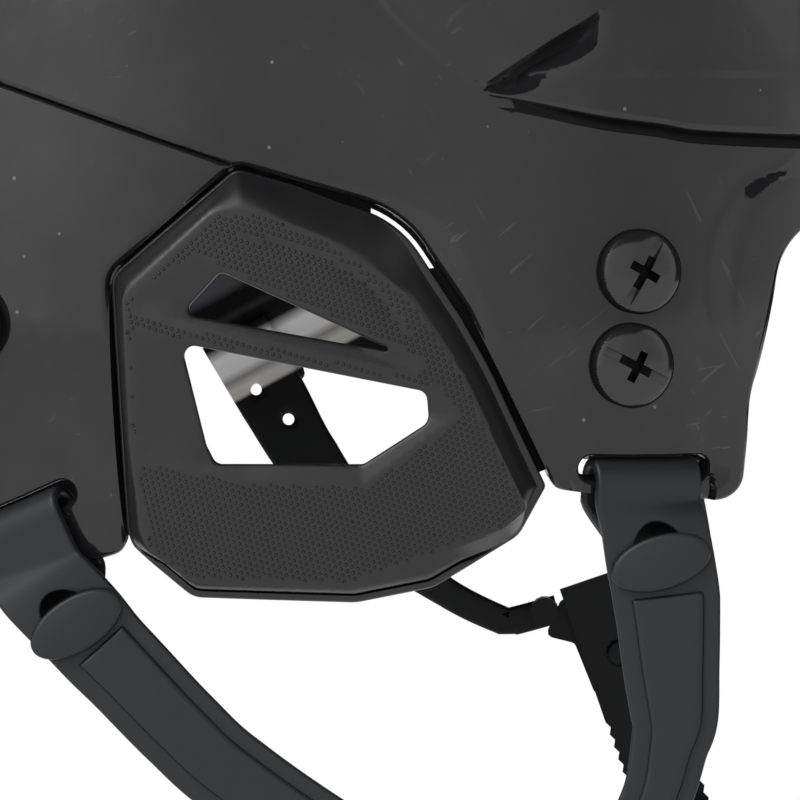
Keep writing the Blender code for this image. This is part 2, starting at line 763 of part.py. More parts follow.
def buttoned_strap(name, path, slot, slant, web, button, side):
    """Whole strap as one ribbon, with its hole and with the button on its tail."""
    stations, curve, along, rise = strap_stations(path, slot, slant, web, side)
    x, z, tilt = button
    head = Vector((x, side * HANG_Y, z))
    nearest = min(curve, key=lambda place_on: (place_on - head).length)
    head.y = nearest.y
    out = Vector((0, side, 0))
    tail_offset = STRAP_THICK + TAIL_GAP
    down = (Vector((path[1][0], 0, path[1][1])) - Vector((path[0][0], 0, path[0][1]))).normalized()
    flat = down.cross(out).normalized()
    if flat.dot(along) < 0:
        flat = -flat
    last = stations[-1][0]
    end = head - out * tail_offset + down * 3.5 * MM
    mid = head - out * (tail_offset + 0.9 * MM) - down * 3.0 * MM
    bridge = smooth([last + rise * 6 * MM, last, mid, end], 4)[5:]
    for index, centre in enumerate(bridge):
        near = (index + 1) / len(bridge)
        width = stations[-1][2] * (1 - 0.28 * near)
        stations.append((centre, along.lerp(flat, near).normalized(), width, STRAP_THICK))
    strap = place(name, ribbon(stations), STRAP_GREY)
    long_way = Matrix.Rotation(-tilt, 3, "Y") @ Vector((1, 0, 0))
    short_way = long_way.cross(out)
    basis = Matrix((long_way, short_way, out)).transposed().to_4x4()
    hole_at = head - down * 1.5 * MM
    hole = turned([(0, -0.5), (0.5, -0.5), (0.5, 0.5), (0, 0.5)], Matrix.Identity(4), 16)
    size = Matrix.Diagonal((HOLE_WIDTH, HOLE_LENGTH, STRAP_THICK + 0.5 * MM, 1))
    bmesh.ops.transform(hole, matrix=Matrix.Translation(hole_at) @ basis @ size, verts=hole.verts)
    combine(strap, "DIFFERENCE", cutter(name + "_hole", hole))
    neck_low = -tail_offset - 0.4 * MM
    seat = STRAP_THICK / 2 + 0.35 * MM
    neck = [(0, neck_low), (2.6 * MM, neck_low), (2.6 * MM, seat)]
    rim = BUTTON_WIDTH / 2
    cap = [(rim, seat), (rim, seat + 0.9 * MM), (rim * 0.93, seat + BUTTON_THICK * 0.75)]
    cap += [(rim * 0.6, seat + BUTTON_THICK), (0, seat + BUTTON_THICK)]
    knob = turned(neck + cap, Matrix.Identity(4), 20)
    stretch = BUTTON_LENGTH / BUTTON_WIDTH
    for vert in knob.verts:
        if vert.co.z > seat - 0.01 * MM and vert.co.xy.length > 3 * MM:
            vert.co.x *= stretch
    bmesh.ops.transform(knob, matrix=Matrix.Translation(head) @ basis, verts=knob.verts)
    combine(strap, "UNION", cutter(name + "_button", knob))
    weld(strap)
    return strap


def split_at_bend(strap, bend, lower_name):
    """Cuts a strap along the bend line into an upper and a lower solid with a narrow gap."""
    front, rear = bend
    along = (rear - front).normalized()
    up = Vector((0, 1, 0)).cross(along)
    if up.z < 0:
        up = -up
    side_way = along.cross(up)
    basis = Matrix((along, side_way, up)).transposed().to_4x4()
    big = 400 * MM
    lower = place(lower_name, strap.data.copy(), STRAP_GREY)
    for piece, sign in ((strap, -1), (lower, 1)):
        block = bmesh.new()
        centre = Vector((0, 0, sign * (big / 2 - BEND_GAP / 2)))
        placed_at = Matrix.Translation(front) @ basis @ Matrix.Translation(centre)
        bmesh.ops.create_cube(block, size=big, matrix=placed_at)
        combine(piece, "DIFFERENCE", cutter(f"{piece.name}_cut", block))
        weld(piece)
    return lower


def band_stations(path, side):
    points = [Vector((x * MM, side * HANG_Y, z * MM)) for x, z, _ in path]
    widths = [width * MM for _, _, width in path]
    curve = smooth(points, 3)
    stations = []
    for index, centre in enumerate(curve):
        share = index / 3
        low = min(int(share), len(widths) - 2)
        width = widths[low] + (widths[low + 1] - widths[low]) * (share - low)
        forward = curve[min(index + 1, len(curve) - 1)] - curve[max(index - 1, 0)]
        stations.append((centre, forward.cross(Vector((0, 1, 0))).normalized(), width, STRAP_THICK))
    return stations


def make_right_harness():
    side = SIDES["right"]
    front = buttoned_strap(
        "right_front_strap_loop", FRONT_PATH, FRONT_SLOT, 0.0, FRONT_WEB, FRONT_BUTTON, side
    )
    rear = buttoned_strap(
        "right_rear_strap_loop", REAR_PATH, REAR_SLOT, REAR_SLANT, REAR_WEB, REAR_BUTTON, side
    )
    front_lower = split_at_bend(front, RIGHT_BEND, "right_front_strap")
    rear_lower = split_at_bend(rear, RIGHT_BEND, "right_rear_strap")
    rivets = []
    for strap, (x, z) in ((front_lower, (51.5, -96)), (rear_lower, (31, -100.2))):
        centre = Vector((x * MM, -HANG_Y, z * MM))
        hole = rod(centre - Vector((0, 3 * MM, 0)), centre + Vector((0, 3 * MM, 0)), 1.5 * MM)
        combine(strap, "DIFFERENCE", cutter(strap.name + "_rivet_hole", hole))
        weld(strap)
        rivets.append(centre)
    make_buckle(rivets)


def rivet(centre, out, reach):
    """Headed rivet through a strap and the plate behind it."""
    body = 1.2 * MM
    head = 3.0 * MM
    outer = STRAP_THICK / 2 + GAP
    back = -reach - 1.0 * MM
    profile = [(0, back), (head, back), (head, -reach), (body, -reach), (body, outer)]
    profile += [(head, outer), (head * 0.8, outer + 0.9 * MM), (0, outer + 1.1 * MM)]
    return turned(profile, facing(centre, out), 14)


def make_buckle(rivet_places):
    """Cam buckle of the right side: a plate with two cheeks, a toothed lever and its pin."""
    plate_face = -(HANG_Y - STRAP_THICK / 2 - GAP)
    plate_back = plate_face + 2.2 * MM
    plate_out = rounded(((26, -95, 4), (57, -91, 4), (60, -134, 4), (34, -134, 4)))
    plate = prism("buckle_plate_form", plate_out, plate_face, plate_back)
    frame = place("right_buckle_frame", plate.data.copy(), CUP_BLACK)
    for name, (x_low, x_high) in (("a", (35, 37.6)), ("b", (56.4, 59))):
        cheek = box((x_low * MM, -100 * MM, -132 * MM), (x_high * MM, plate_face + 1 * MM, -110 * MM))
        combine(frame, "UNION", cutter(f"cheek_{name}", cheek))
    pin_at = Vector((47 * MM, -97 * MM, -115 * MM))
    long_x = Vector((1, 0, 0))
    hole = rod(pin_at - long_x * 15 * MM, pin_at + long_x * 15 * MM, 1.6 * MM)
    combine(frame, "DIFFERENCE", cutter("pin_hole", hole))
    for index, centre in enumerate(rivet_places):
        bore = rod(centre - Vector((0, 6 * MM, 0)), centre + Vector((0, 8 * MM, 0)), 1.5 * MM)
        combine(frame, "DIFFERENCE", cutter(f"plate_rivet_hole_{index}", bore))
    weld(frame)
    half_pin = long_x * 12.6 * MM
    place("buckle_lever_pin", rod(pin_at - half_pin, pin_at + half_pin, 1.25 * MM), STEEL)
    lever_form = box((38 * MM, -98.8 * MM, -131 * MM), (56 * MM, -95.4 * MM, -112.6 * MM))
    lever = place("buckle_lever", lever_form, CUP_BLACK)
    barrel = rod(pin_at - long_x * 9 * MM, pin_at + long_x * 9 * MM, 2.5 * MM, 24)
    combine(lever, "UNION", cutter("lever_barrel", barrel))
    bore = rod(pin_at - long_x * 15 * MM, pin_at + long_x * 15 * MM, 1.6 * MM)
    combine(lever, "DIFFERENCE", cutter("lever_bore", bore))
    weld(lever)
    reach = STRAP_THICK / 2 + GAP + 2.2 * MM + 0.35 * MM
    for name, centre in zip(("front", "rear"), rivet_places):
        place(f"right_{name}_strap_rivet", rivet(centre, Vector((0, -1, 0)), reach), STEEL)


def make_left_harness():
    short = FRONT_PATH[:4]
    front = buttoned_strap("left_front_strap_loop", short, FRONT_SLOT, 0.0, FRONT_WEB, FRONT_BUTTON, 1)
    front_lower = split_at_bend(front, LEFT_BEND, "left_front_strap")
    band = place("left_rear_band_upper", ribbon(band_stations(BAND_PATH, 1)), STRAP_GREY)
    band_lower = split_at_bend(band, LEFT_BEND, "left_rear_band")
    for index, (x, z) in enumerate(((-23.5, -2.9), (-16.8, -8.8))):
        centre = Vector((x * MM, HANG_Y, z * MM))
        hole = rod(centre - Vector((0, 4 * MM, 0)), centre + Vector((0, 4 * MM, 0)), 1.25 * MM, 16)
        combine(band, "DIFFERENCE", cutter(f"band_hole_{index}", hole))
    plate_face = HANG_Y - STRAP_THICK / 2 - GAP
    across = Vector((0.946, 0, 0.326))
    corners = []
    for u, w in ((-8.6, -2.5), (15.5, 0.4), (15.5, -16), (8.0, -24), (-8.0, -24), (-8.6, -12), (-14, -8.5)):
        at = CHIN_START + across * u * MM - CHIN_DIRECTION * w * MM
        corners.append((at.x / MM, at.z / MM, 1.2))
    plate = prism("left_yoke_form", rounded(corners, 2), plate_face - YOKE_THICK, plate_face)
    yoke = place("left_yoke", plate.data.copy(), STRAP_GREY)
    rivets = [Vector((63.5 * MM, HANG_Y, -47 * MM)), Vector((38.2 * MM, HANG_Y, -49.9 * MM))]
    chin_rivet = CHIN_START + CHIN_DIRECTION * 17 * MM
    rivets.append(chin_rivet)
    chin = make_chin_strap()
    for piece, centre in zip((front_lower, band_lower, chin), rivets):
        hole = rod(centre - Vector((0, 6 * MM, 0)), centre + Vector((0, 6 * MM, 0)), 1.5 * MM)
        tool = cutter(piece.name + "_rivet_hole", hole)
        for target in (piece, yoke):
            combine(target, "DIFFERENCE", tool)
            weld(target)
    weld(band)
    reach = STRAP_THICK / 2 + GAP + YOKE_THICK + GAP
    for name, centre in zip(("left_front_strap", "left_rear_band"), rivets):
        place(f"{name}_rivet", rivet(centre, Vector((0, 1, 0)), reach), STEEL)
    place("chin_strap_rivet", rivet(chin_rivet, Vector((0, -1, 0)), reach), STEEL)


def make_hanger():
    """Wide moulded hanger riveted inside the shell above the left ear opening."""
    outline = rounded(HANGER_OUTLINE)
    columns = 8
    face = bmesh.new()
    bmesh.ops.create_grid(face, x_segments=columns, y_segments=columns, size=0.5)
    for vert in face.verts:
        x = -44 * MM + (vert.co.x + 0.5) * 62 * MM
        z = -1 * MM + (vert.co.y + 0.5) * 61 * MM
        hug = side_depth(x, z) - WALL - 1.0 * MM
        hang = HANG_Y + STRAP_THICK / 2 + GAP + 2.0 * MM
        share = max(0.0, min(1.0, (z - 20 * MM) / (22 * MM)))
        ease = share * share * (3 - 2 * share)
        vert.co = Vector((x, hang + (hug - hang) * ease, z))
    data = bpy.data.meshes.new("left_strap_hanger")
    face.to_mesh(data)
    face.free()
    hanger = place("left_strap_hanger", data, STRAP_GREY)
    wall = hanger.modifiers.new("wall", "SOLIDIFY")
    wall.thickness = 2.0 * MM
    wall.offset = -1 if data.polygons[0].normal.y > 0 else 1
    graph = bpy.context.evaluated_depsgraph_get()
    solid = bpy.data.meshes.new_from_object(hanger.evaluated_get(graph))
    hanger.modifiers.clear()
    hanger.data = solid
    combine(hanger, "INTERSECT", prism("hanger_outline", outline, 80 * MM, 120 * MM))
    weld(hanger)


def make_chin_strap():
    """Toothed strap that hangs from the left yoke and feeds the right buckle."""
    across = Vector((0.946, 0, 0.326))
    teeth_from = 30 * MM
    outline = []
    half = CHIN_WIDTH / 2
    for sign in (1, -1):
        edge = [(0.0, half)]
        at = teeth_from
        while at < CHIN_LENGTH - 8 * MM:
            edge += [(at, half), (at + TOOTH_PITCH * 0.5, half - TOOTH_DEPTH)]
            at += TOOTH_PITCH
        edge += [(CHIN_LENGTH - 6 * MM, half - 0.5 * MM), (CHIN_LENGTH, half - 4 * MM)]
        if sign < 0:
            edge.reverse()
        for along, out in edge:
            place_at = CHIN_START + CHIN_DIRECTION * along + across * sign * out
            outline.append(Vector((place_at.x, place_at.z)))
    form = prism("chin_strap_form", outline, CHIN_Y - CHIN_THICK / 2, CHIN_Y + CHIN_THICK / 2)
    return place("chin_strap", form.data.copy(), STRAP_GREY)


def make_chin_cup():
    """Dished cup on the wearer's side of the chin strap, with two keepers and a soft pad."""
    centre = CHIN_START + CHIN_DIRECTION * CUP_AT
    across = Vector((0.946, 0, 0.326))
    inward = Vector((0, -1, 0))
    basis = Matrix((CHIN_DIRECTION, across, inward)).transposed().to_4x4()
    face_y = CHIN_THICK / 2 + GAP
    at_cup = Matrix.Translation(centre) @ basis

    def bowl(outer, inner, outer_depth, inner_depth, lift):
        """Bowl between two half ellipses, stretched to the cup's plan."""
        angles = [0.5 * math.pi * step / 6 for step in range(7)]
        profile = [(outer * math.sin(a), -outer_depth * math.cos(a)) for a in angles]
        profile += [(inner * math.sin(a), -inner_depth * math.cos(a)) for a in reversed(angles)]
        stretch = Matrix.Diagonal((CUP_LENGTH / 2, CUP_WIDTH / 2, 1, 1))
        return turned(profile, at_cup @ Matrix.Translation((0, 0, lift)) @ stretch, 22)

    rim = face_y + CUP_DEPTH + 0.4 * MM
    cup = place("chin_cup", bowl(1.0, 0.92, CUP_DEPTH, CUP_DEPTH - 1.8 * MM, rim), CUP_BLACK)
    for index, along in enumerate((-10 * MM, 10 * MM)):
        outer = bmesh.new()
        width = CHIN_WIDTH / 2 + 2.2 * MM
        low, high = -CHIN_THICK / 2 - GAP - 1.6 * MM, face_y + 2.6 * MM
        size = Matrix.Diagonal((6 * MM, 2 * width, high - low, 1))
        middle = Matrix.Translation((along, 0, (low + high) / 2))
        bmesh.ops.create_cube(outer, size=1, matrix=at_cup @ middle @ size)
        combine(cup, "UNION", cutter(f"keeper_{index}", outer))
    channel = bmesh.new()
    size = Matrix.Diagonal((40 * MM, CHIN_WIDTH + 0.8 * MM, CHIN_THICK + 2 * GAP, 1))
    bmesh.ops.create_cube(channel, size=1, matrix=at_cup @ size)
    combine(cup, "DIFFERENCE", cutter("cup_channel", channel))
    weld(cup)
    place("chin_cup_pad", bowl(0.89, 0.62, CUP_DEPTH - 3.2 * MM, CUP_DEPTH - 8.0 * MM, rim), PAD_CLOTH)


clear_scene()
parts = new_collection("batting_helmet")
cutters = new_collection("cutters")
make_shell()
make_guard()
make_guard_frame()
make_liner()
make_screws()
make_right_harness()
make_hanger()
make_left_harness()
make_chin_cup()
for sub_part in parts.objects:
    sub_part.data.shade_smooth()
    sub_part.data.set_sharp_from_angle(angle=math.radians(35))
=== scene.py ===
"""Looks of the batting helmet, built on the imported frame.

Lengths are millimetres. Bumps, cards, light and floor are in metres.
"""

import json
import math

import bmesh
import bpy
import numpy as np
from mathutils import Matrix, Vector
from mathutils.geometry import delaunay_2d_cdt

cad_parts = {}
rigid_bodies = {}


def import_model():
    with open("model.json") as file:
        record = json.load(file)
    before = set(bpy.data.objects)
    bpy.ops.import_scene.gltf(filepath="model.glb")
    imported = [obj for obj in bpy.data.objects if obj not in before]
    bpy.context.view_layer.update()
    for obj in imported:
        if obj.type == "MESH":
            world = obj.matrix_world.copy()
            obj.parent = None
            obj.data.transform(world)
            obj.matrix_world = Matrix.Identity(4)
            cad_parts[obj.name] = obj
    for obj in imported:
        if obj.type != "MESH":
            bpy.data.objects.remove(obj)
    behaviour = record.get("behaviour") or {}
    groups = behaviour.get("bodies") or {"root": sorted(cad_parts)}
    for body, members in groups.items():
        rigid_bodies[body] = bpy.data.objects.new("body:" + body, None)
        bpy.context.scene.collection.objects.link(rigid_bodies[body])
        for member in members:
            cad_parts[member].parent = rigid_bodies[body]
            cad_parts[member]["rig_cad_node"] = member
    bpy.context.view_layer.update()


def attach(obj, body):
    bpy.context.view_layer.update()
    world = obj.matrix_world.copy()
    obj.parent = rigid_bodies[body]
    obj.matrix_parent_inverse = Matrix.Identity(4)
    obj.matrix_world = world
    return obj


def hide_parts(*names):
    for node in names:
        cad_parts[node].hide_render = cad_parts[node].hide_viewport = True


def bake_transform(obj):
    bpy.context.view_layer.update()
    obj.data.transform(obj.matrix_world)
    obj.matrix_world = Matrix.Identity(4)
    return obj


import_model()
MM = 0.001

# Shell surface (same egg as the CAD shell)
CENTRE = np.array([0.0, 0.0, 30.0])
ROUND = 2.25
WALL = 3.2
HALF_WIDTH = 104.0
FRONT_HALF, BACK_HALF, TOP_HALF, LOW_HALF = 125.0, 130.0, 125.0, 150.0


def halves(q):
    return np.where(q[:, 0] > 0, FRONT_HALF, BACK_HALF), np.where(q[:, 2] > 0, TOP_HALF, LOW_HALF)


def reach(d, inset=0.0):
    long_half, high_half = halves(d)
    total = np.abs(d[:, 0] / (long_half - inset)) ** ROUND
    total += np.abs(d[:, 1] / (HALF_WIDTH - inset)) ** ROUND
    total += np.abs(d[:, 2] / (high_half - inset)) ** ROUND
    return total ** (-1 / ROUND)


def side_depth(x, z, inset=0.0):
    x, z = np.asarray(x, float), np.asarray(z, float)
    long_half = np.where(x > 0, FRONT_HALF, BACK_HALF) - inset
    rise = z - CENTRE[2]
    high_half = np.where(rise > 0, TOP_HALF, LOW_HALF) - inset
    left = 1 - np.abs(x / long_half) ** ROUND - np.abs(rise / high_half) ** ROUND
    return (HALF_WIDTH - inset) * np.maximum(left, 0.0) ** (1 / ROUND)


def egg_normal(p):
    q = p - CENTRE
    long_half, high_half = halves(q)
    size = np.stack([long_half, np.full(len(q), HALF_WIDTH), high_half], 1)
    grad = np.sign(q) * np.abs(q) ** (ROUND - 1) / size**ROUND
    return grad / np.linalg.norm(grad, axis=1, keepdims=True)


def to_disc(p, side):
    """Flat map of one half of the egg: angle from the side axis, as a distance from the map's middle."""
    d = p - CENTRE
    d = d / np.linalg.norm(d, axis=1, keepdims=True)
    away = np.arccos(np.clip(d[:, 1] * side, -1, 1))
    turn = np.arctan2(d[:, 2], d[:, 0])
    return np.stack([away * np.cos(turn), away * np.sin(turn)], 1) * 100


def from_disc(flat, side, inset=0.0):
    away = np.linalg.norm(flat, axis=1) / 100
    turn = np.arctan2(flat[:, 1], flat[:, 0])
    d = np.stack([np.sin(away) * np.cos(turn), side * np.cos(away), np.sin(away) * np.sin(turn)], 1)
    return CENTRE + d * reach(d, inset)[:, None]


def on_side(xz, side, inset=0.0):
    xz = np.asarray(xz, float)
    return np.stack([xz[:, 0], side * side_depth(xz[:, 0], xz[:, 1], inset), xz[:, 1]], 1)


# Outlines and flat geometry


def rounded(corners, steps=8):
    """Points from (x, z, radius) corners, each rounded by an arc."""
    out = []
    count = len(corners)
    for index, (x, z, radius) in enumerate(corners):
        corner = np.array((x, z), float)
        before = np.array(corners[index - 1][:2], float) - corner
        after = np.array(corners[(index + 1) % count][:2], float) - corner
        before /= np.linalg.norm(before)
        after /= np.linalg.norm(after)
        half = 0.5 * math.acos(max(-1, min(1, float(before @ after))))
        if radius == 0 or half > math.radians(89):
            out.append(corner)
            continue
        back = radius / math.tan(half)
        middle = corner + (before + after) / np.linalg.norm(before + after) * radius / math.sin(half)
        start = corner + before * back - middle
        end = corner + after * back - middle
        angle = math.atan2(start[0] * end[1] - start[1] * end[0], float(start @ end))
        for step in range(steps + 1):
            a = angle * step / steps
            turn = np.array([[math.cos(a), -math.sin(a)], [math.sin(a), math.cos(a)]])
            out.append(middle + turn @ start)
    return np.array(out)


def length_along(line):
    """Length of a line from its start to each of its points."""
    return np.concatenate([[0], np.cumsum(np.linalg.norm(np.diff(line, axis=0), axis=1))])


def closed_line(loop):
    return np.vstack([loop, loop[:1]])


def circle(count):
    turns = np.linspace(0, 2 * math.pi, count + 1)[:-1]
    return np.stack([np.cos(turns), np.sin(turns)], 1)


def resample(line, step, closed=False):
    line = np.asarray(line, float)
    if closed:
        line = closed_line(line)
    lengths = np.linalg.norm(np.diff(line, axis=0), axis=1)
    keep = np.concatenate([[True], lengths > 1e-9])
    line = line[keep]
    along = length_along(line)
    count = max(2, int(round(along[-1] / step)) + 1)
    at = np.linspace(0, along[-1], count)
    out = np.stack([np.interp(at, along, line[:, axis]) for axis in range(line.shape[1])], 1)
    return out[:-1] if closed else out


def between(a, b, c, d, t):
    """Place at share t between b and c, on the Catmull-Rom curve through all four."""
    return 0.5 * (
        2 * b + (c - a) * t + (2 * a - 5 * b + 4 * c - d) * t**2 + (3 * b - a - 3 * c + d) * t**3
    )


def spline(points, steps):
    """Catmull-Rom curve with the same number of steps in each span."""
    points = [np.asarray(p, float) for p in points]
    out = []
    for k in range(len(points) - 1):
        a, b, c = points[max(k - 1, 0)], points[k], points[k + 1]
        d = points[min(k + 2, len(points) - 1)]
        for t in np.linspace(0, 1, steps, endpoint=False):
            out.append(between(a, b, c, d, t))
    return [*out, points[-1]]


def catmull(points, step):
    """Smooth curve through points, resampled evenly."""
    return resample(spline(points, 16), step)


def nearest(points, line, closed=False):
    """Distance from each point to a polyline, and the share along it (0 to 1) of the nearest place."""
    line = np.asarray(line, float)
    if closed:
        line = closed_line(line)
    starts, ends = line[:-1], line[1:]
    edges = ends - starts
    squares = np.maximum((edges**2).sum(1), 1e-12)
    along = np.concatenate([[0], np.cumsum(np.sqrt(squares))])
    best = np.full(len(points), 1e9)
    share = np.zeros(len(points))
    for low in range(0, len(points), 3000):
        part = points[low : low + 3000]
        offset = part[:, None, :] - starts[None]
        t = np.clip((offset * edges[None]).sum(2) / squares[None], 0, 1)
        gap = np.sqrt(((offset - t[..., None] * edges[None]) ** 2).sum(2))
        pick = gap.argmin(1)
        rows = np.arange(len(part))
        best[low : low + 3000] = gap[rows, pick]
        share[low : low + 3000] = (along[pick] + t[rows, pick] * np.sqrt(squares[pick])) / along[-1]
    return best, share


def inside(points, loop):
    """Which points lie in a closed flat loop."""
    x, y = points[:, 0], points[:, 1]
    found = np.zeros(len(points), bool)
    a = np.asarray(loop, float)
    b = np.roll(a, -1, axis=0)
    for (x0, y0), (x1, y1) in zip(a, b):
        if y0 == y1:
            continue
        hit = (y0 > y) != (y1 > y)
        found ^= hit & (x < (x1 - x0) * (y - y0) / (y1 - y0) + x0)
    return found


def signed(points, loop):
    """Distance to a closed loop, positive inside it."""
    gap, _ = nearest(points, loop, closed=True)
    return np.where(inside(points, loop), gap, -gap)


def ease(t):
    t = np.clip(t, 0, 1)
    return t * t * (3 - 2 * t)


def roll(depth, radius):
    """How far a rounded edge of that radius lies below the face, at a distance in from the edge."""
    back = np.clip(radius - depth, 0, radius)
    return radius - np.sqrt(np.maximum(radius**2 - back**2, 0))


def ring_depths(radius, steps=5):
    """Distances in from an edge that sample its rounding evenly."""
    return [radius * (1 - math.cos(0.5 * math.pi * k / steps)) for k in range(1, steps + 1)]


def offset_loop(loop, depth):
    """A closed flat loop moved in by depth, whichever way round it runs."""
    ahead = np.roll(loop, -1, axis=0) - np.roll(loop, 1, axis=0)
    ahead /= np.maximum(np.linalg.norm(ahead, axis=1, keepdims=True), 1e-9)
    area = 0.5 * np.sum(loop[:, 0] * np.roll(loop[:, 1], -1) - np.roll(loop[:, 0], -1) * loop[:, 1])
    inward = np.stack([-ahead[:, 1], ahead[:, 0]], 1) * (1 if area > 0 else -1)
    return loop + inward * depth


def hex_points(low, high, pitch, tilt=0.0):
    """Hexagonal lattice over a rectangle, turned by tilt."""
    span = max(high[0] - low[0], high[1] - low[1]) * 0.8 + 2 * pitch
    count = int(span / pitch) + 2
    i, j = np.meshgrid(np.arange(-count, count + 1), np.arange(-count, count + 1))
    x = (i + 0.5 * (j % 2)) * pitch
    y = j * pitch * math.sqrt(3) / 2
    c, s = math.cos(tilt), math.sin(tilt)
    middle = (np.array(low) + np.array(high)) / 2
    out = np.stack([(c * x - s * y).ravel(), (s * x + c * y).ravel()], 1) + middle
    keep = np.all((out >= low) & (out <= high), axis=1)
    return out[keep]


def triangulate(loops, lines=(), points=()):
    """Flat points and constrained triangles inside the first loop and outside the others."""
    coords, edges = [], []
    for loop in loops:
        first = len(coords)
        coords += [tuple(p) for p in loop]
        edges += [(first + k, first + (k + 1) % len(loop)) for k in range(len(loop))]
    for line in lines:
        first = len(coords)
        coords += [tuple(p) for p in line]
        edges += [(first + k, first + k + 1) for k in range(len(line) - 1)]
    coords += [tuple(p) for p in points]
    found = delaunay_2d_cdt([Vector(c) for c in coords], edges, [], 0, 1e-5)
    flat = np.array([tuple(v) for v in found[0]])
    faces = np.array(found[2])
    middle = flat[faces].mean(1)
    keep = inside(middle, loops[0])
    for hole in loops[1:]:
        keep &= ~inside(middle, hole)
    a, b, c = flat[faces[:, 0]], flat[faces[:, 1]], flat[faces[:, 2]]
    area = (b[:, 0] - a[:, 0]) * (c[:, 1] - a[:, 1]) - (b[:, 1] - a[:, 1]) * (c[:, 0] - a[:, 0])
    keep &= np.abs(area) > 1e-7
    faces = np.where((area < 0)[:, None], faces[:, ::-1], faces)[keep]
    used, index = np.unique(faces, return_inverse=True)
    return flat[used], index.reshape(-1, 3)


def border(faces):
    """Directed edges that only one triangle uses."""
    sides = np.concatenate([faces[:, [0, 1]], faces[:, [1, 2]], faces[:, [2, 0]]])
    key = {}
    for a, b in sides:
        key[(a, b)] = True
    return [(a, b) for a, b in key if (b, a) not in key]


def plate(top, bottom, faces):
    """Closed solid from a top and a bottom sheet that share their triangles."""
    count = len(top)
    walls = [(a, b, b + count, a + count) for a, b in border(faces)]
    polygons = [tuple(f[::-1]) for f in faces] + [tuple(f + count) for f in faces] + walls
    return np.vstack([top, bottom]), polygons


# Objects


def mesh_object(name, points, polygons, material, smooth_angle=40):
    """Object from points, with its faces turned outward and its creases sharp."""
    data = bpy.data.meshes.new(name)
    data.from_pydata((np.asarray(points) * MM).tolist(), [], [tuple(int(i) for i in p) for p in polygons])
    data.validate()
    edit = bmesh.new()
    edit.from_mesh(data)
    bmesh.ops.recalc_face_normals(edit, faces=edit.faces)
    edit.to_mesh(data)
    edit.free()
    data.shade_smooth()
    data.set_sharp_from_angle(angle=math.radians(smooth_angle))
    made = bpy.data.objects.new(name, data)
    bpy.context.scene.collection.objects.link(made)
    data.materials.append(material)
    return made


def lathe(profile, turns):
    """Points and faces turned about local Z from (radius, height) pairs that start and end on the axis."""
    points, rings, polygons = [], [], []
    for radius, height in profile:
        if radius == 0:
            rings.append([len(points)])
            points.append((0, 0, height))
            continue
        first = len(points)
        for k in range(turns):
            a = 2 * math.pi * k / turns
            points.append((radius * math.cos(a), radius * math.sin(a), height))
        rings.append(list(range(first, first + turns)))
    for low, high in zip(rings, rings[1:]):
        for k in range(turns):
            n = (k + 1) % turns
            corners = [low[k % len(low)], low[n % len(low)], high[n % len(high)], high[k % len(high)]]
            polygons.append(tuple(dict.fromkeys(corners)))
    return np.array(points, float), polygons


def frame_on_side(x, z, side):
    """Point, forward, up and outward directions on the shell's side."""
    step = 0.5
    point = on_side([(x, z)], side)[0]
    ahead = on_side([(x + step, z)], side)[0] - point
    above = on_side([(x, z + step)], side)[0] - point
    outward = np.cross(ahead, above)
    outward *= np.sign(outward[1] * side) / np.linalg.norm(outward)
    ahead /= np.linalg.norm(ahead)
    up = np.cross(outward, ahead)
    if up[2] < 0:
        up = -up
    return point, ahead, up, outward


# Shell
FLAP_EDGE = ((118, 42, 0), (104, 42, 16), (86, 30, 14), (79.5, 0, 30), (78, -19.8, 5.5), (43, -17.2, 2))
EAR_OPENING = ((26.5, 17, 14), (14, 36, 22), (-18, 45, 4), (-42.5, 24, 5), (-39.5, -29.5, 3))
NAPE_EDGE = ((-46, -31.5, 6), (-97, -52, 20), (-118, -52, 0))
FRONT_SLOT = (60.2, -13.4, 0.0)
REAR_SLOT = (-61.0, -22.4, math.radians(22))
SLOT_LENGTH, SLOT_HEIGHT = 27.0, 5.0
EDGE_ROLL = 1.35

# Style lines in side view, and the creases of the panels above them.
PANEL_LINE = catmull([(-118, 73.5), (-105, 72), (-85, 67.3), (-62.7, 60.2), (-41, 52.6), (-19, 45.0)], 1.0)
BROW_LINE = catmull(
    [
        (28.5, 58.5), (38, 56.6), (51.3, 53.8), (62.7, 52.3), (70.3, 51.1), (89.3, 50.3),
        (104, 50.3), (116, 50.5),
    ],
    1.0,
)
SHOULDER = catmull([(2, 92), (9.5, 77), (15, 70.5), (21, 65.5), (28.5, 60.2)], 1.0)
FACET_LINE = catmull([(28.5, 59.5), (40, 67), (52, 74.5), (66, 85), (80, 97)], 1.0)
FRONT_CREASE = catmull(
    [(92, 52), (84, 46), (77.9, 41.5), (73.5, 34), (71.8, 27), (71.6, 15), (72, 0), (72.2, -12)], 1.0
)
OPENING_CREASE = catmull(
    [
        (-62.7, 62.4), (-40, 55.2), (-19, 47.9), (-8.5, 45.2), (5, 40.9), (13.3, 38.5),
        (18, 36), (22, 33.6), (25.5, 28.5), (29.5, 19), (33.5, 9), (36, 0),
    ],
    1.0,
)

# Cross sections of the moulded steps, as (distance from the line, height) pairs, negative below the line.
PANEL_STEP = (
    (-4, -0.9), (-1.0, -0.9), (-0.8, -0.95), (-0.1, -1.7), (0.02, -0.75),
    (0.25, -0.38), (0.7, -0.18), (1.4, -0.07), (2.6, -0.02), (4, 0),
)
BROW_LIP = (
    (-9, 0), (-2.45, 0), (-2.35, -0.25), (-0.1, -1.75), (0.05, 0.15),
    (0.3, 0.5), (0.8, 0.72), (1.6, 0.86), (3.2, 0.95), (9, 1.0),
)
FACET_POCKET = ((0, 0), (0.5, -3.0), (6.6, -0.12), (8.5, 0), (16, 0))
PANEL_END = -18.5


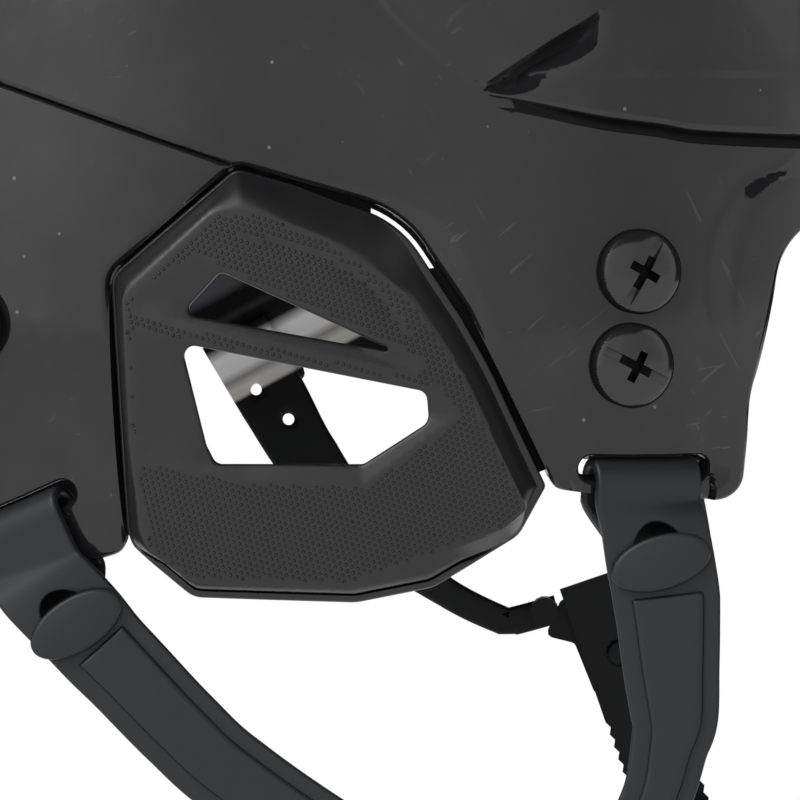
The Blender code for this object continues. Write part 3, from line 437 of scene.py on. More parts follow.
def around_front(z, x_from, side):
    """Places at one height from the middle plane round to the side, on the shell's surface."""
    y_from = float(side_depth(x_from, z))
    rise = z - float(CENTRE[2])
    high_half = TOP_HALF if rise > 0 else LOW_HALF
    long_half = FRONT_HALF if x_from > 0 else BACK_HALF
    out = []
    for y in np.linspace(0, y_from, 26)[:-1]:
        left = 1 - (y / HALF_WIDTH) ** ROUND - abs(rise / high_half) ** ROUND
        out.append((np.sign(x_from) * long_half * left ** (1 / ROUND), side * y, z))
    return np.array(out)


def round_to_middle(line, side):
    """A side-view line, carried at its first height round to the middle plane."""
    start = around_front(line[0][1], line[0][0], side)
    return np.vstack([start, on_side(line, side)])


def slot_loop(slot, side):
    x, z, slant = slot
    radius = SLOT_HEIGHT / 2
    reach_x = SLOT_LENGTH / 2 - radius
    point, ahead, up, _ = frame_on_side(x, z, side)
    loop = []
    for end in (1, -1):
        for k in range(13):
            a = math.pi * k / 12 - math.pi / 2
            u = end * (reach_x + radius * math.cos(a))
            v = end * radius * math.sin(a)
            u, v = u * math.cos(slant) - v * math.sin(slant), u * math.sin(slant) + v * math.cos(slant)
            loop.append(point + ahead * u + up * v)
    return np.array(loop)


def along_surface(line, depth, inward_to):
    """A surface line moved sideways by depth, towards a place."""
    ahead = np.gradient(line, axis=0)
    ahead /= np.maximum(np.linalg.norm(ahead, axis=1, keepdims=True), 1e-9)
    across = np.cross(egg_normal(line), ahead)
    across *= np.sign(np.median((across * (inward_to - line)).sum(1)))
    return line + across * depth


def side_sign(points, line, side):
    """Which side of a surface line each place lies on, in the flat map: 1 left of its direction, -1 right."""
    flat_line = to_disc(line, side)
    flat = to_disc(points, side)
    starts, ends = flat_line[:-1], flat_line[1:]
    sign = np.zeros(len(flat))
    for low in range(0, len(flat), 3000):
        part = flat[low : low + 3000]
        edges = ends - starts
        offset = part[:, None] - starts[None]
        t = np.clip((offset * edges).sum(2) / (edges**2).sum(1), 0, 1)
        gap = ((offset - t[..., None] * edges) ** 2).sum(2)
        pick = gap.argmin(1)
        rows = np.arange(len(part))
        e, o = edges[pick], offset[rows, pick]
        sign[low : low + 3000] = np.sign(e[:, 0] * o[:, 1] - e[:, 1] * o[:, 0])
    return sign


def shell_relief(base, side, rim, slots):
    """Height of the moulded face over the egg, and the rounding of its edges."""
    x, z = base[:, 0], base[:, 2]
    up = np.zeros(len(base))
    # Rear lower panel, a step inside the upper body and tucked under its lip.
    line = round_to_middle(PANEL_LINE, side)
    gap, _ = nearest(base, line)
    below = (z < np.interp(x, PANEL_LINE[:, 0], PANEL_LINE[:, 1])) & (x < PANEL_END)
    panel = np.interp(np.where(below, -gap, gap), *zip(*PANEL_STEP))
    near_front = ease((-x - 14) / 5)
    up += np.where(below, panel, panel * near_front)
    # Chamfer band between the opening's edge and its crease.
    crease = on_side(OPENING_CREASE, side)
    gap, share = nearest(base, crease)
    opening = on_side(EAR_LOOP, side)
    to_edge, _ = nearest(base, opening)
    in_band = side_sign(base, crease, side) < 0
    fade = ease(share / 0.35) * ease((1 - share) / 0.25)
    band = np.where(in_band & (to_edge < 9) & (x > -66) & ~below, np.clip(gap / 4.2, 0, 1) * 0.62, 0)
    up -= band * fade
    # Brow line: the upper body hangs over the lower one, which tucks in beneath it.
    line = on_side(BROW_LINE, side)
    gap, _ = nearest(base, line)
    under = z < np.interp(x, BROW_LINE[:, 0], BROW_LINE[:, 1])
    ahead_of_tip = x > BROW_LINE[0][0] - 3
    lip = np.interp(np.where(under, -gap, gap), *zip(*BROW_LIP))
    up += np.where(ahead_of_tip | (gap < 9), lip * ease((x - 26) / 26), 0)
    # Shoulder and facet creases of the upper body.
    shoulder = on_side(SHOULDER, side)
    gap, _ = nearest(base, shoulder)
    right = side_sign(base, shoulder, side) > 0
    high = z > 56
    rise = np.where(right, ease(gap / 9) * 1.3, 0) * high * ease((z - 58) / 8)
    dip = -0.55 * np.exp(-((gap / 4.5) ** 2)) * np.where(right, 0.3, 1) * high * ease((z - 58) / 6)
    up += (rise + dip) * ease((112 - z) / 25)
    facet = on_side(FACET_LINE, side)
    gap, _ = nearest(base, facet)
    lower = side_sign(base, facet, side) < 0
    scoop = np.where(lower, np.interp(gap, *zip(*FACET_POCKET)), 0)
    scoop = scoop * ease((x - 27) / 9) * (1 - ease((x - 45) / 8))
    up += scoop * ease((z - 57) / 4) * ease((112 - z) / 24)
    # Front edge: a rolled band ahead of a shallow crease.
    crease = on_side(FRONT_CREASE, side)
    gap, _ = nearest(base, crease)
    ahead_of = side_sign(base, crease, side) > 0
    flare = np.where(ahead_of, 2.0 * ease(gap / 6.0) - 0.35, -0.35 * np.exp(-((gap / 3.2) ** 2)))
    up += np.where((x > 60) & (z < 50), flare, 0) * ease((50 - z) / 9)
    # Rounded edges.
    to_rim, _ = nearest(base, rim)
    down = roll(to_rim, EDGE_ROLL)
    for loop in slots:
        to_slot, _ = nearest(base, loop, closed=True)
        down = np.maximum(down, roll(to_slot, 0.8))
    return up, down, to_rim


EAR_LOOP = rounded(((43, -17.2, 0), *EAR_OPENING, (-46, -31.5, 0)))


def make_shell_half(side, slots):
    rim_flat = rounded((*FLAP_EDGE, *EAR_OPENING, *NAPE_EDGE))
    rim = np.vstack(
        [around_front(42, 118, side), on_side(rim_flat, side), around_front(-52, -118, side)[::-1]]
    )
    rim = resample(rim, 0.8)
    slot_loops = [resample(slot_loop(slot, side), 0.5, closed=True) for slot in slots]
    slot_loops = [from_disc(to_disc(loop, side), side) for loop in slot_loops]
    flat_loops = [to_disc(loop, side) for loop in slot_loops]
    # Middle plane from the nape over the crown to the brow.
    edge = math.pi / 2 * 100
    rim_disc = to_disc(rim, side)
    a0, a1 = (math.atan2(rim_disc[end, 1], rim_disc[end, 0]) for end in (-1, 0))
    if a0 < 0:
        a0 += 2 * math.pi
    arc = np.linspace(a0, a1, 150)[1:-1]
    seam = np.stack([edge * np.cos(arc), edge * np.sin(arc)], 1)
    for end in (0, -1):
        rim_disc[end] *= edge / np.linalg.norm(rim_disc[end])
    outline = np.vstack([rim_disc, seam])
    crown, top, low = (np.array([0.0, side * y, z]) for y, z in ((60, 120.0), (90, 110.0), (90, -20.0)))

    def beside(line, depths, towards):
        return [to_disc(along_surface(line, depth, towards), side) for depth in depths]

    points = beside(rim, ring_depths(EDGE_ROLL) + [EDGE_ROLL + 0.5, EDGE_ROLL + 1.3], crown)
    points += [offset_loop(flat, -depth) for flat in flat_loops for depth in ring_depths(0.8, 3) + [1.3]]
    panel = resample(round_to_middle(PANEL_LINE, side), 1.2)
    brow = resample(on_side(BROW_LINE, side), 1.0)
    lines = []
    for line, ruled, under, over in (
        (panel, (0.1,), (0.45, 0.8, 1.0, 1.6, 2.6, 4), (0.12, 0.25, 0.45, 0.7, 1.0, 1.4, 2.0, 2.6, 3.4)),
        (brow, (0.1, 2.35, 2.45), (0.6, 1.2, 1.8, 3.2), (0.12, 0.3, 0.5, 0.8, 1.2, 1.6, 2.3, 3.2, 5)),
    ):
        lines += [to_disc(line, side), *beside(line, ruled, low)]
        points += beside(line, under, low) + beside(line, over, top)
    for crease in (OPENING_CREASE, FRONT_CREASE, FACET_LINE, SHOULDER):
        surface = resample(on_side(crease, side), 1.0)
        lines.append(to_disc(surface, side))
        points += beside(surface, (-0.6, 0.6, -1.4, 1.4), top)
    # Filling: fine where the panels are modelled, coarser elsewhere.
    fine_low, fine_high, far = (-75, -55), (95, 75), 160
    fine = hex_points(fine_low, fine_high, 1.3)
    coarse = hex_points((-far, -far), (far, far), 3.2)
    coarse = coarse[~np.all((coarse > fine_low) & (coarse < fine_high), axis=1)]
    fill = np.vstack([fine, coarse])
    fill = fill[np.linalg.norm(fill, axis=1) < edge - 1.2]
    guides = np.vstack(points + lines)
    fill = fill[signed(fill, outline) > 1.0]
    extra = np.vstack(points)
    extra = extra[np.linalg.norm(extra, axis=1) < edge - 0.4]
    extra = extra[signed(extra, outline) > 0.05]
    for flat in flat_loops:
        extra = extra[signed(extra, flat) < -0.05]
        fill = fill[signed(fill, flat) < -0.9]
    extra = thin(extra, 0.09)
    fill = fill[apart(fill, guides, 0.8)]
    clipped = []
    for line in lines:
        good = (np.linalg.norm(line, axis=1) < edge - 0.2) & (signed(line, outline) > 0.15)
        runs = np.split(np.arange(len(line)), np.where(~good)[0])
        clipped += [line[r[good[r]]] for r in runs if good[r].sum() > 1]
    flat, faces = triangulate([outline, *flat_loops], clipped, np.vstack([extra, fill]))
    base = from_disc(flat, side)
    on_seam = np.linalg.norm(flat, axis=1) > edge - 0.01
    base[on_seam, 1] = 0
    up, down, to_rim = shell_relief(base, side, rim, slot_loops)
    normal = egg_normal(base)
    outer = base + normal * (up - down)[:, None]
    inner = from_disc(flat, side, WALL)
    inner_down = roll(np.minimum(to_rim, 9), 1.0)
    inner = inner + normal * (inner_down + np.minimum(up + 1.6, 0))[:, None]
    outer[on_seam, 1] = 0
    inner[on_seam, 1] = 0
    return outer, inner, faces, on_seam


def thin(points, gap):
    """Drops points that share a small cell with an earlier one."""
    key = np.round(points / gap).astype(np.int64)
    _, first = np.unique(key, axis=0, return_index=True)
    return points[np.sort(first)]


def apart(points, guides, gap):
    """Which points are clear of every guide, by cells."""
    cells = set()
    for shift_x in (0, 0.5):
        for shift_y in (0, 0.5):
            key = np.floor(guides / gap + (shift_x, shift_y)).astype(int)
            cells |= {(shift_x, shift_y, a, b) for a, b in key}
    good = np.ones(len(points), bool)
    for shift_x in (0, 0.5):
        for shift_y in (0, 0.5):
            key = np.floor(points / gap + (shift_x, shift_y)).astype(int)
            good &= np.array([(shift_x, shift_y, a, b) not in cells for a, b in key])
    return good


def make_shell(material):
    points, polygons = [], []
    base = 0
    for side, slots in ((-1, (FRONT_SLOT, REAR_SLOT)), (1, (FRONT_SLOT,))):
        outer, inner, faces, on_seam = make_shell_half(side, slots)
        count = len(outer)
        walls = [(a, b, b + count, a + count) for a, b in border(faces) if not (on_seam[a] and on_seam[b])]
        polygons += [tuple(f + base) for f in faces] + [tuple(f[::-1] + count + base) for f in faces]
        polygons += [tuple(base + i for i in w) for w in walls]
        points += [outer, inner]
        base += 2 * count
    made = mesh_object("shell_body", np.vstack(points), polygons, material, 38)
    edit = bmesh.new()
    edit.from_mesh(made.data)
    bmesh.ops.remove_doubles(edit, verts=[v for v in edit.verts if abs(v.co.y) < 1e-6], dist=0.02 * MM)
    bmesh.ops.recalc_face_normals(edit, faces=edit.faces)
    edit.to_mesh(made.data)
    edit.free()
    made.data.shade_smooth()
    made.data.set_sharp_from_angle(angle=math.radians(38))
    return made


# Ear guard
GUARD_OUTLINE = (
    (42, -16.5, 2), *EAR_OPENING[:4], (-39.8, -25, 4), (-38.6, -28.5, 5), (-26.5, -38.6, 6), (5, -39.5, 10),
    (20, -36.5, 8), (36.5, -26.5, 7),
)
GUARD_MARGIN, GUARD_MORE = 0.9, 1.0
GUARD_FOLD = (
    (-38.8, 19.6, 2.5), (-37.6, -6, 30), (-34.4, -28.6, 4), (-26.6, -34.2, 4), (4, -34.9, 10),
    (33.2, -24.2, 4), (37.6, -20.5, 1.2), (24.5, 6.8, 25), (15.5, 20, 8), (0, 30.4, 12),
    (-13, 35.8, 6), (-21.5, 35.6, 4),
)
UPPER_VENT = ((-20.3, 24.5, 1.5), (-27, 17.3, 1.5), (-25.5, 16, 1), (14.0, 8.9, 0.4))
LOWER_VENT = ((-28, 11, 2), (-23.2, -8.5, 2), (-21.4, -12, 2), (6.6, -12, 2), (19, -4, 2.5), (18.6, 1.8, 2))
UPPER_FACETS = (
    (-24.5, 27.8, 1), (-20.5, 25.2, 0.8), (18.5, 7.6, 1), (16, 4.9, 1), (-26, 14, 8), (-37, 17.2, 1),
    (-36, 20.5, 1),
)
LOWER_FACETS = (
    (-37, 13.2, 0.8), (12, 3.9, 20), (21, 2.2, 2), (24.6, -3.2, 1), (7, -15.9, 1.5), (-16, -15.2, 10),
    (-36, -11.4, 0.8),
)
VALLEY = catmull([(-17, 31.6), (-7.3, 29.5), (0.3, 27), (6.1, 23.6), (11.8, 17.8), (15, 13)], 0.7)
CROWN = 5.9
GUARD_WALL = 2.2
DOT_PITCH, DOT_RADIUS, DOT_HEIGHT = 1.2, 0.37, 0.29


def guard_height(p, edge, foot, fold, vents, facets):
    """Height of the guard's smooth face over the shell, and the rounding of its edges."""
    x, z = p[:, 0], p[:, 1]
    bottom = ease((-z - 27) / 5)
    rim_height = -0.5 + 2.6 * bottom
    to_edge = signed(p, edge)
    to_foot = signed(p, foot)
    to_fold = signed(p, fold)
    u = np.clip(to_foot / np.maximum(to_foot + np.maximum(-to_fold, 0), 1e-6), 0, 1)
    slope = 1 - (1 - u) ** (1.3 + 0.7 * ease((-x - 6) / 12))
    slope += (np.sqrt(np.maximum(1 - (1 - u) ** 2, 0)) - slope) * bottom
    height = np.where(to_foot < 0, rim_height, rim_height + (CROWN - rim_height) * slope)
    height -= 0.7 * np.clip(1 - np.abs(to_foot) / 0.32, 0, 1) * bottom
    gap, share = nearest(p, VALLEY)
    height -= 0.75 * np.clip(1 - gap / 3.4, 0, 1) * ease(share / 0.25) * ease((1 - share) / 0.2)
    down = roll(to_edge, 0.7)
    for vent, facet in zip(vents, facets):
        to_vent = np.maximum(-signed(p, vent), 0)
        deep = np.maximum(signed(p, facet), 0)
        width = np.maximum(deep + to_vent, 1e-6)
        height -= np.where(deep > 0, np.minimum(1.7, 0.42 * width) * deep / width, 0)
        down = np.maximum(down, roll(to_vent, 0.55))
    return height, down


def guard_edge(step):
    """Plan edge of the guard: close to the shell all round, further from it above, where light passes."""
    outline = resample(rounded(GUARD_OUTLINE), step, closed=True)
    x, z = outline[:, 0], outline[:, 1]
    margin = GUARD_MARGIN + GUARD_MORE * ease((x + 8) / 14) * ease((z - 4) / 16)
    moved = offset_loop(outline, margin[:, None])
    return resample(moved[signed(moved, outline) > margin - 0.1], step, closed=True)


def make_guard(material):
    edge = guard_edge(0.5)
    x, z = edge[:, 0], edge[:, 1]
    rim_width = 0.45 + 1.0 * ease((x - 8) / 12) * ease((z + 24) / 4) + 1.15 * ease((-z - 28) / 5)
    foot = offset_loop(edge, rim_width[:, None])
    foot = resample(foot[signed(foot, edge) > rim_width - 0.12], 0.6, closed=True)
    fold = resample(rounded(GUARD_FOLD), 0.6, closed=True)
    vents = [resample(rounded(corners), 0.45, closed=True) for corners in (UPPER_VENT, LOWER_VENT)]
    facets = [resample(rounded(corners), 0.6, closed=True) for corners in (UPPER_FACETS, LOWER_FACETS)]
    lines = [*map(closed_line, (foot, fold, *facets)), VALLEY]
    rings = [offset_loop(edge, depth) for depth in ring_depths(0.7, 4)]
    rings += [offset_loop(vent, -depth) for vent in vents for depth in ring_depths(0.55, 4)]
    rings += [offset_loop(foot, depth) for depth in (-0.32, 0.32, 0.7)]
    rings += [offset_loop(fold, depth) for depth in (-0.45, 0.45)]
    rings = np.vstack(rings)
    rings = rings[(signed(rings, edge) > 0.06)]
    for vent in vents:
        rings = rings[signed(rings, vent) < -0.03]
    rings = thin(rings, 0.12)

    def clearance(points):
        """Distance to the nearest line of the plan, and whether the place carries dots."""
        near = np.full(len(points), 1e9)
        for loop in (foot, fold, *facets, *vents):
            near = np.minimum(near, nearest(points, loop, closed=True)[0])
        near = np.minimum(near, nearest(points, VALLEY)[0])
        dotted = inside(points, fold)
        for loop in (*facets, *vents):
            dotted &= ~inside(points, loop)
        return near, dotted

    low, high = edge.min(0), edge.max(0)
    centres = hex_points(low, high, DOT_PITCH, math.radians(-17))
    near, dotted = clearance(centres)
    centres = centres[dotted & (near > DOT_RADIUS + 0.16)]
    dots, dot_heights = [centres], [np.full(len(centres), DOT_HEIGHT)]
    for radius, height, count in ((DOT_RADIUS * 0.66, DOT_HEIGHT * 0.82, 7), (DOT_RADIUS, 0.0, 8)):
        for k in range(count):
            a = 2 * math.pi * k / count
            dots.append(centres + radius * np.array([math.cos(a), math.sin(a)]))
            dot_heights.append(np.full(len(centres), height))
    dots, dot_heights = np.vstack(dots), np.concatenate(dot_heights)
    fill = hex_points(low, high, 1.0, 0.3)
    near, dotted = clearance(fill)
    fill = fill[(near > 0.45) & (signed(fill, edge) > 0.7) & ~dotted]
    flat, faces = triangulate([edge, *vents], lines, np.vstack([rings, fill, dots]))
    height, down = guard_height(flat, edge, foot, fold, vents, facets)
    key = {tuple(np.round(p, 3)): h for p, h in zip(dots, dot_heights)}
    raised = np.array([key.get(tuple(np.round(p, 3)), 0.0) for p in flat])
    base = on_side(flat, -1)
    per_depth = 1 / np.abs(egg_normal(base)[:, 1])
    top, bottom = base.copy(), base.copy()
    top[:, 1] -= (height - down + raised) * per_depth
    bottom[:, 1] -= (height - GUARD_WALL) * per_depth
    points, polygons = plate(top, bottom, faces)
    return mesh_object("ear_guard", points, polygons, material, 42)


LIGHT_SLIT = ((7.4, 36.0), (20.5, 26.0))
SLIT_FROM, SLIT_TO = 1.15, 4.2
FRAME_INSET, FRAME_THICK = 3.55, 1.8


def make_guard_frame(material):
    """Frame behind the shell that holds the guard's rim, open where light passes beside the guard."""
    guard = resample(rounded(GUARD_OUTLINE), 0.7, closed=True)
    grown = [(x * 1.13, min(z * 1.13, 48.5), r) for x, z, r in GUARD_OUTLINE[:6]]
    outer = resample(rounded(grown), 0.7, closed=True)
    outer[:, 1] = np.maximum(outer[:, 1], -23.8)
    lowest = np.interp(outer[:, 0], [33, 40], [-23.8, -13.5])
    outer[:, 1] = np.maximum(outer[:, 1], lowest)
    outer[:, 0] = np.minimum(outer[:, 0], 45.3)
    outer = resample(outer, 0.7, closed=True)
    hole = offset_loop(guard, 4.7)
    hole = hole[signed(hole, guard) > 4.6]
    start, stop = sorted(int(np.linalg.norm(guard - np.array(end), axis=1).argmin()) for end in LIGHT_SLIT)
    near_side, far_side = (offset_loop(guard, depth)[start : stop + 1] for depth in (SLIT_FROM, SLIT_TO))
    slit = np.vstack([near_side, far_side[2:-2][::-1]])
    fill = hex_points(outer.min(0), outer.max(0), 1.1)
    fill = fill[(signed(fill, outer) > 0.6) & (signed(fill, hole) < -0.6) & (signed(fill, slit) < -0.5)]
    flat, faces = triangulate([outer, hole, slit], [], fill)
    top, bottom = (on_side(flat, -1, inset) for inset in (FRAME_INSET, FRAME_INSET + FRAME_THICK))
    points, polygons = plate(top, bottom, faces)
    return mesh_object("guard_rim_frame", points, polygons, material, 40)


# Peak
PEAK_REACH, PEAK_HALF, PEAK_ROOT_Z, PEAK_DROP, PEAK_THICK = 43.0, 74.0, 52.0, 13.0, 3.4


def make_peak(material):
    """Curved peak that grows out of the brow with a fillet."""
    share = np.sin(np.linspace(-1, 1, 121) * math.pi / 2)
    out = np.linspace(0, 1, 46)
    grid_share, grid_out = np.meshgrid(share, out, indexing="ij")
    y = grid_share * PEAK_HALF
    root = FRONT_HALF * (1 - np.abs(y / HALF_WIDTH) ** ROUND) ** (1 / ROUND) - WALL
    reach_out = PEAK_REACH * np.sqrt(np.maximum(1 - np.abs(grid_share) ** 2.6, 0)) + 3.4
    x = root + reach_out * grid_out
    height = PEAK_ROOT_Z - PEAK_DROP * grid_out - 9 * grid_share**2 * (0.35 + 0.65 * grid_out)
    to_tip = reach_out * (1 - grid_out)
    to_end = (1 - np.abs(grid_share)) * PEAK_HALF
    rim = np.minimum(to_tip, to_end * 1.2)
    shave = roll(rim, PEAK_THICK * 0.49)
    fillet = 5.5 * np.exp(-((x - root) / 4.0)) * ease(to_end / 10)
    top = np.stack([x, y, height - shave + fillet], -1).reshape(-1, 3)
    under = np.stack([x, y, height - PEAK_THICK + shave], -1).reshape(-1, 3)
    columns = len(out)
    faces = []
    for i in range(len(share) - 1):
        for j in range(columns - 1):
            a, b = i * columns + j, (i + 1) * columns + j
            faces += [(a, b, b + 1), (a, b + 1, a + 1)]
    points, polygons = plate(top, under, np.array(faces))
    made = mesh_object("peak", points, polygons, material, 50)
    edit = bmesh.new()
    edit.from_mesh(made.data)
    bmesh.ops.remove_doubles(edit, verts=edit.verts, dist=0.01 * MM)
    bmesh.ops.dissolve_degenerate(edit, edges=edit.edges, dist=0.005 * MM)
    bmesh.ops.recalc_face_normals(edit, faces=edit.faces)
    edit.to_mesh(made.data)
    edit.free()
    return made


# Screws
FRONT_SCREWS = ((58.6, 24.4), (57.2, 6.6))
REAR_SCREW = (-70.0, 14.3)
SCREW_RADIUS = 8.1
SCREW_TURNS = {"front_upper": 61, "front_lower": -26, "rear": 12}


def make_screw(name, place, side, turn, material, shadow):
    """Domed head with a slot that deepens to its middle, crossed by a short deep one; its rim ring and cross
    slot carry painted shadow.
    """
    edge = circle(96) * SCREW_RADIUS
    long_half, thin_half, arm, arm_half = 6.9, 0.85, 3.1, 0.85
    quarter = [(long_half, thin_half), (arm_half, thin_half), (arm_half, arm)]
    plus = quarter + [(-x, y) for x, y in reversed(quarter)]
    plus = np.array(plus + [(-x, -y) for x, y in plus])
    c, s = math.cos(math.radians(turn)), math.sin(math.radians(turn))
    turned_by = np.array([[c, s], [-s, c]])
    wall = resample(plus, 0.22, closed=True)
    floor = offset_loop(resample(plus * 0.999, 0.22, closed=True), 0.09)
    rings = np.vstack([edge * (1 - depth / SCREW_RADIUS) for depth in ring_depths(0.8, 5) + [1.2, 1.6]])
    fill = hex_points((-8.2, -8.2), (8.2, 8.2), 0.3)
    away = np.minimum(nearest(fill, wall, closed=True)[0], nearest(fill, floor, closed=True)[0])
    fill = fill[(np.linalg.norm(fill, axis=1) < SCREW_RADIUS - 1.8) & (away > 0.12)]
    floor = floor[signed(floor, plus) > 0.05]
    flat, faces = triangulate([edge], [closed_line(wall)], np.vstack([rings, fill, floor]))
    u, v = flat[:, 0], flat[:, 1]
    r = np.linalg.norm(flat, axis=1) / SCREW_RADIUS
    height = 0.9 + 3.0 * np.sqrt(np.maximum(1 - (r * 0.985) ** 2, 0)) ** 0.9
    sunk = signed(flat, plus) > 0.04
    slot_depth = 0.12 + 1.75 * np.clip(1 - np.abs(u) / long_half, 0, 1) ** 0.8
    cross_depth = np.where((np.abs(u) < arm_half) | (np.linalg.norm(flat, axis=1) < 1.3), 2.3, 0)
    height -= np.where(sunk, np.maximum(slot_depth, cross_depth), 0)
    flat = flat @ turned_by
    point, ahead, up, outward = frame_on_side(*place, side)
    spread = point + flat[:, :1] * ahead + flat[:, 1:] * up
    points, polygons = plate(spread + height[:, None] * outward, spread + 0.38 * outward, faces)
    made = mesh_object(name, points, polygons, material, 50)
    # Painted shadow: the ring round the head's rim and the cross slot take the near-black matte material.
    made.data.materials.append(shadow)
    for face in made.data.polygons:
        spot = np.array(face.center) / MM - point
        a, b = spot @ ahead, spot @ up
        u, v = a * c + b * s, b * c - a * s
        cross = abs(u) < 3.4 and abs(v) < thin_half or abs(u) < arm_half and abs(v) < arm
        if math.hypot(a, b) > SCREW_RADIUS - 0.42 or cross:
            face.material_index = 1
    return made


# Straps
STRAP_THICK, HANG_Y, TAIL_GAP, LOOP_SLACK = 2.2, 92.8, 0.9, 1.6
GAP = 0.35
FRONT_WEB, REAR_WEB = 5.4, 13.4
FRONT_PATH = (
    (61.6, -24, 20.6), (62.8, -31, 20.7), (64, -38.4, 20.5), (64.9, -51.7, 18.4), (65.5, -60.8, 16.7),
    (64.5, -66.3, 14.8), (62.1, -76, 13.4), (55.5, -90, 13), (49.5, -99, 13),
)
REAR_PATH = (
    (-54.8, -35.5, 19.8), (-47.9, -42.8, 18.6), (-43.7, -47.6, 18), (-38.8, -52.6, 17.6),
    (-28.9, -62.9, 17.2), (-18.2, -72.4, 16.9), (5, -87, 15), (34, -101.5, 13),
)
FRONT_BUTTON = (62.9, -31.0, math.radians(17))
REAR_BUTTON = (-48.6, -42.9, math.radians(32))
BUTTON_SIZE = (19.6, 10.4, 2.4)
HOLE_SIZE = (9.2, 10.4)
HOLE_RISE = 2.5
PANEL_MARGINS = (3.6, 3.1)
# The last stations of a buttoned strap, which lie behind its outer leg.
BACK_STATIONS = 35


def unit(v):
    return v / np.linalg.norm(v)


def strap_line(path, slot, web, button, side, steps=9):
    """Centre, across direction and width along a buttoned strap, from its lower end to its tail."""
    point, ahead, up, outward = frame_on_side(slot[0], slot[1], side)
    along = unit(ahead * math.cos(slot[2]) + up * math.sin(slot[2])) * -side
    rise = unit(up * math.cos(slot[2]) - ahead * math.sin(slot[2]))
    lead = STRAP_THICK / 2 + GAP
    turn_radius = (WALL + LOOP_SLACK) / 2 + lead
    lift = -SLOT_HEIGHT / 2 - 0.45
    depth = -(WALL + LOOP_SLACK) / 2
    legs = depth - turn_radius
    hang = [np.array((x, side * HANG_Y, z)) for x, z, _ in path]
    widths = [w for _, _, w in path]
    top_width = widths[0] + 0.6
    legs_out = [point + outward * lead + rise * h for h in (lift - web * 0.55, lift)]
    curve = spline([*reversed(hang), *legs_out], steps)
    spread = [*reversed(widths), top_width, top_width]
    centres, acrosses, wide = [], [], []
    for k, centre in enumerate(curve):
        forward = curve[min(k + 1, len(curve) - 1)] - curve[max(k - 1, 0)]
        flat = unit(np.cross(forward, (0, 1, 0)))
        if flat @ along < 0:
            flat = -flat
        near = max(0.0, min(1.0, 1 - (len(curve) - 1 - steps - k) / (2.3 * steps)))
        centres.append(centre)
        acrosses.append(unit(flat * (1 - near) + along * near))
        wide.append(np.interp(k / steps, range(len(spread)), spread))
    for k in range(1, 17):
        a = math.pi * k / 17
        sideways, upward = depth + turn_radius * math.cos(a), lift + turn_radius * math.sin(a)
        centres.append(point + outward * sideways + rise * upward)
        acrosses.append(along)
        wide.append(top_width)
    for h in (lift, lift - web * 0.25, lift - web * 0.5, -web - 2.0):
        centres.append(point + outward * legs + rise * h)
        acrosses.append(along)
        wide.append(top_width)
    head = np.array((button[0], side * HANG_Y, button[1]))
    head[1] = min(curve, key=lambda c: np.linalg.norm(c - head))[1]
    out = np.array((0, side, 0.0))
    tail = STRAP_THICK + TAIL_GAP
    down = unit(np.array((path[1][0] - path[0][0], 0, path[1][1] - path[0][1])))
    flat = unit(np.cross(down, out))
    if flat @ along < 0:
        flat = -flat
    last = centres[-1]
    end = head - out * tail + down * 3.5
    mid = head - out * (tail + 0.9) - down * 3.0
    bridge = spline([last + rise * 6, last, mid, end], 10)[11:]
    for k, centre in enumerate(bridge):
        near = (k + 1) / len(bridge)
        centres.append(centre)
        acrosses.append(unit(along * (1 - near) + flat * near))
        wide.append(top_width * (1 - 0.28 * near))
    centres, acrosses, wide = np.array(centres), np.array(acrosses), np.array(wide)
    return centres, acrosses, wide, head, down, out


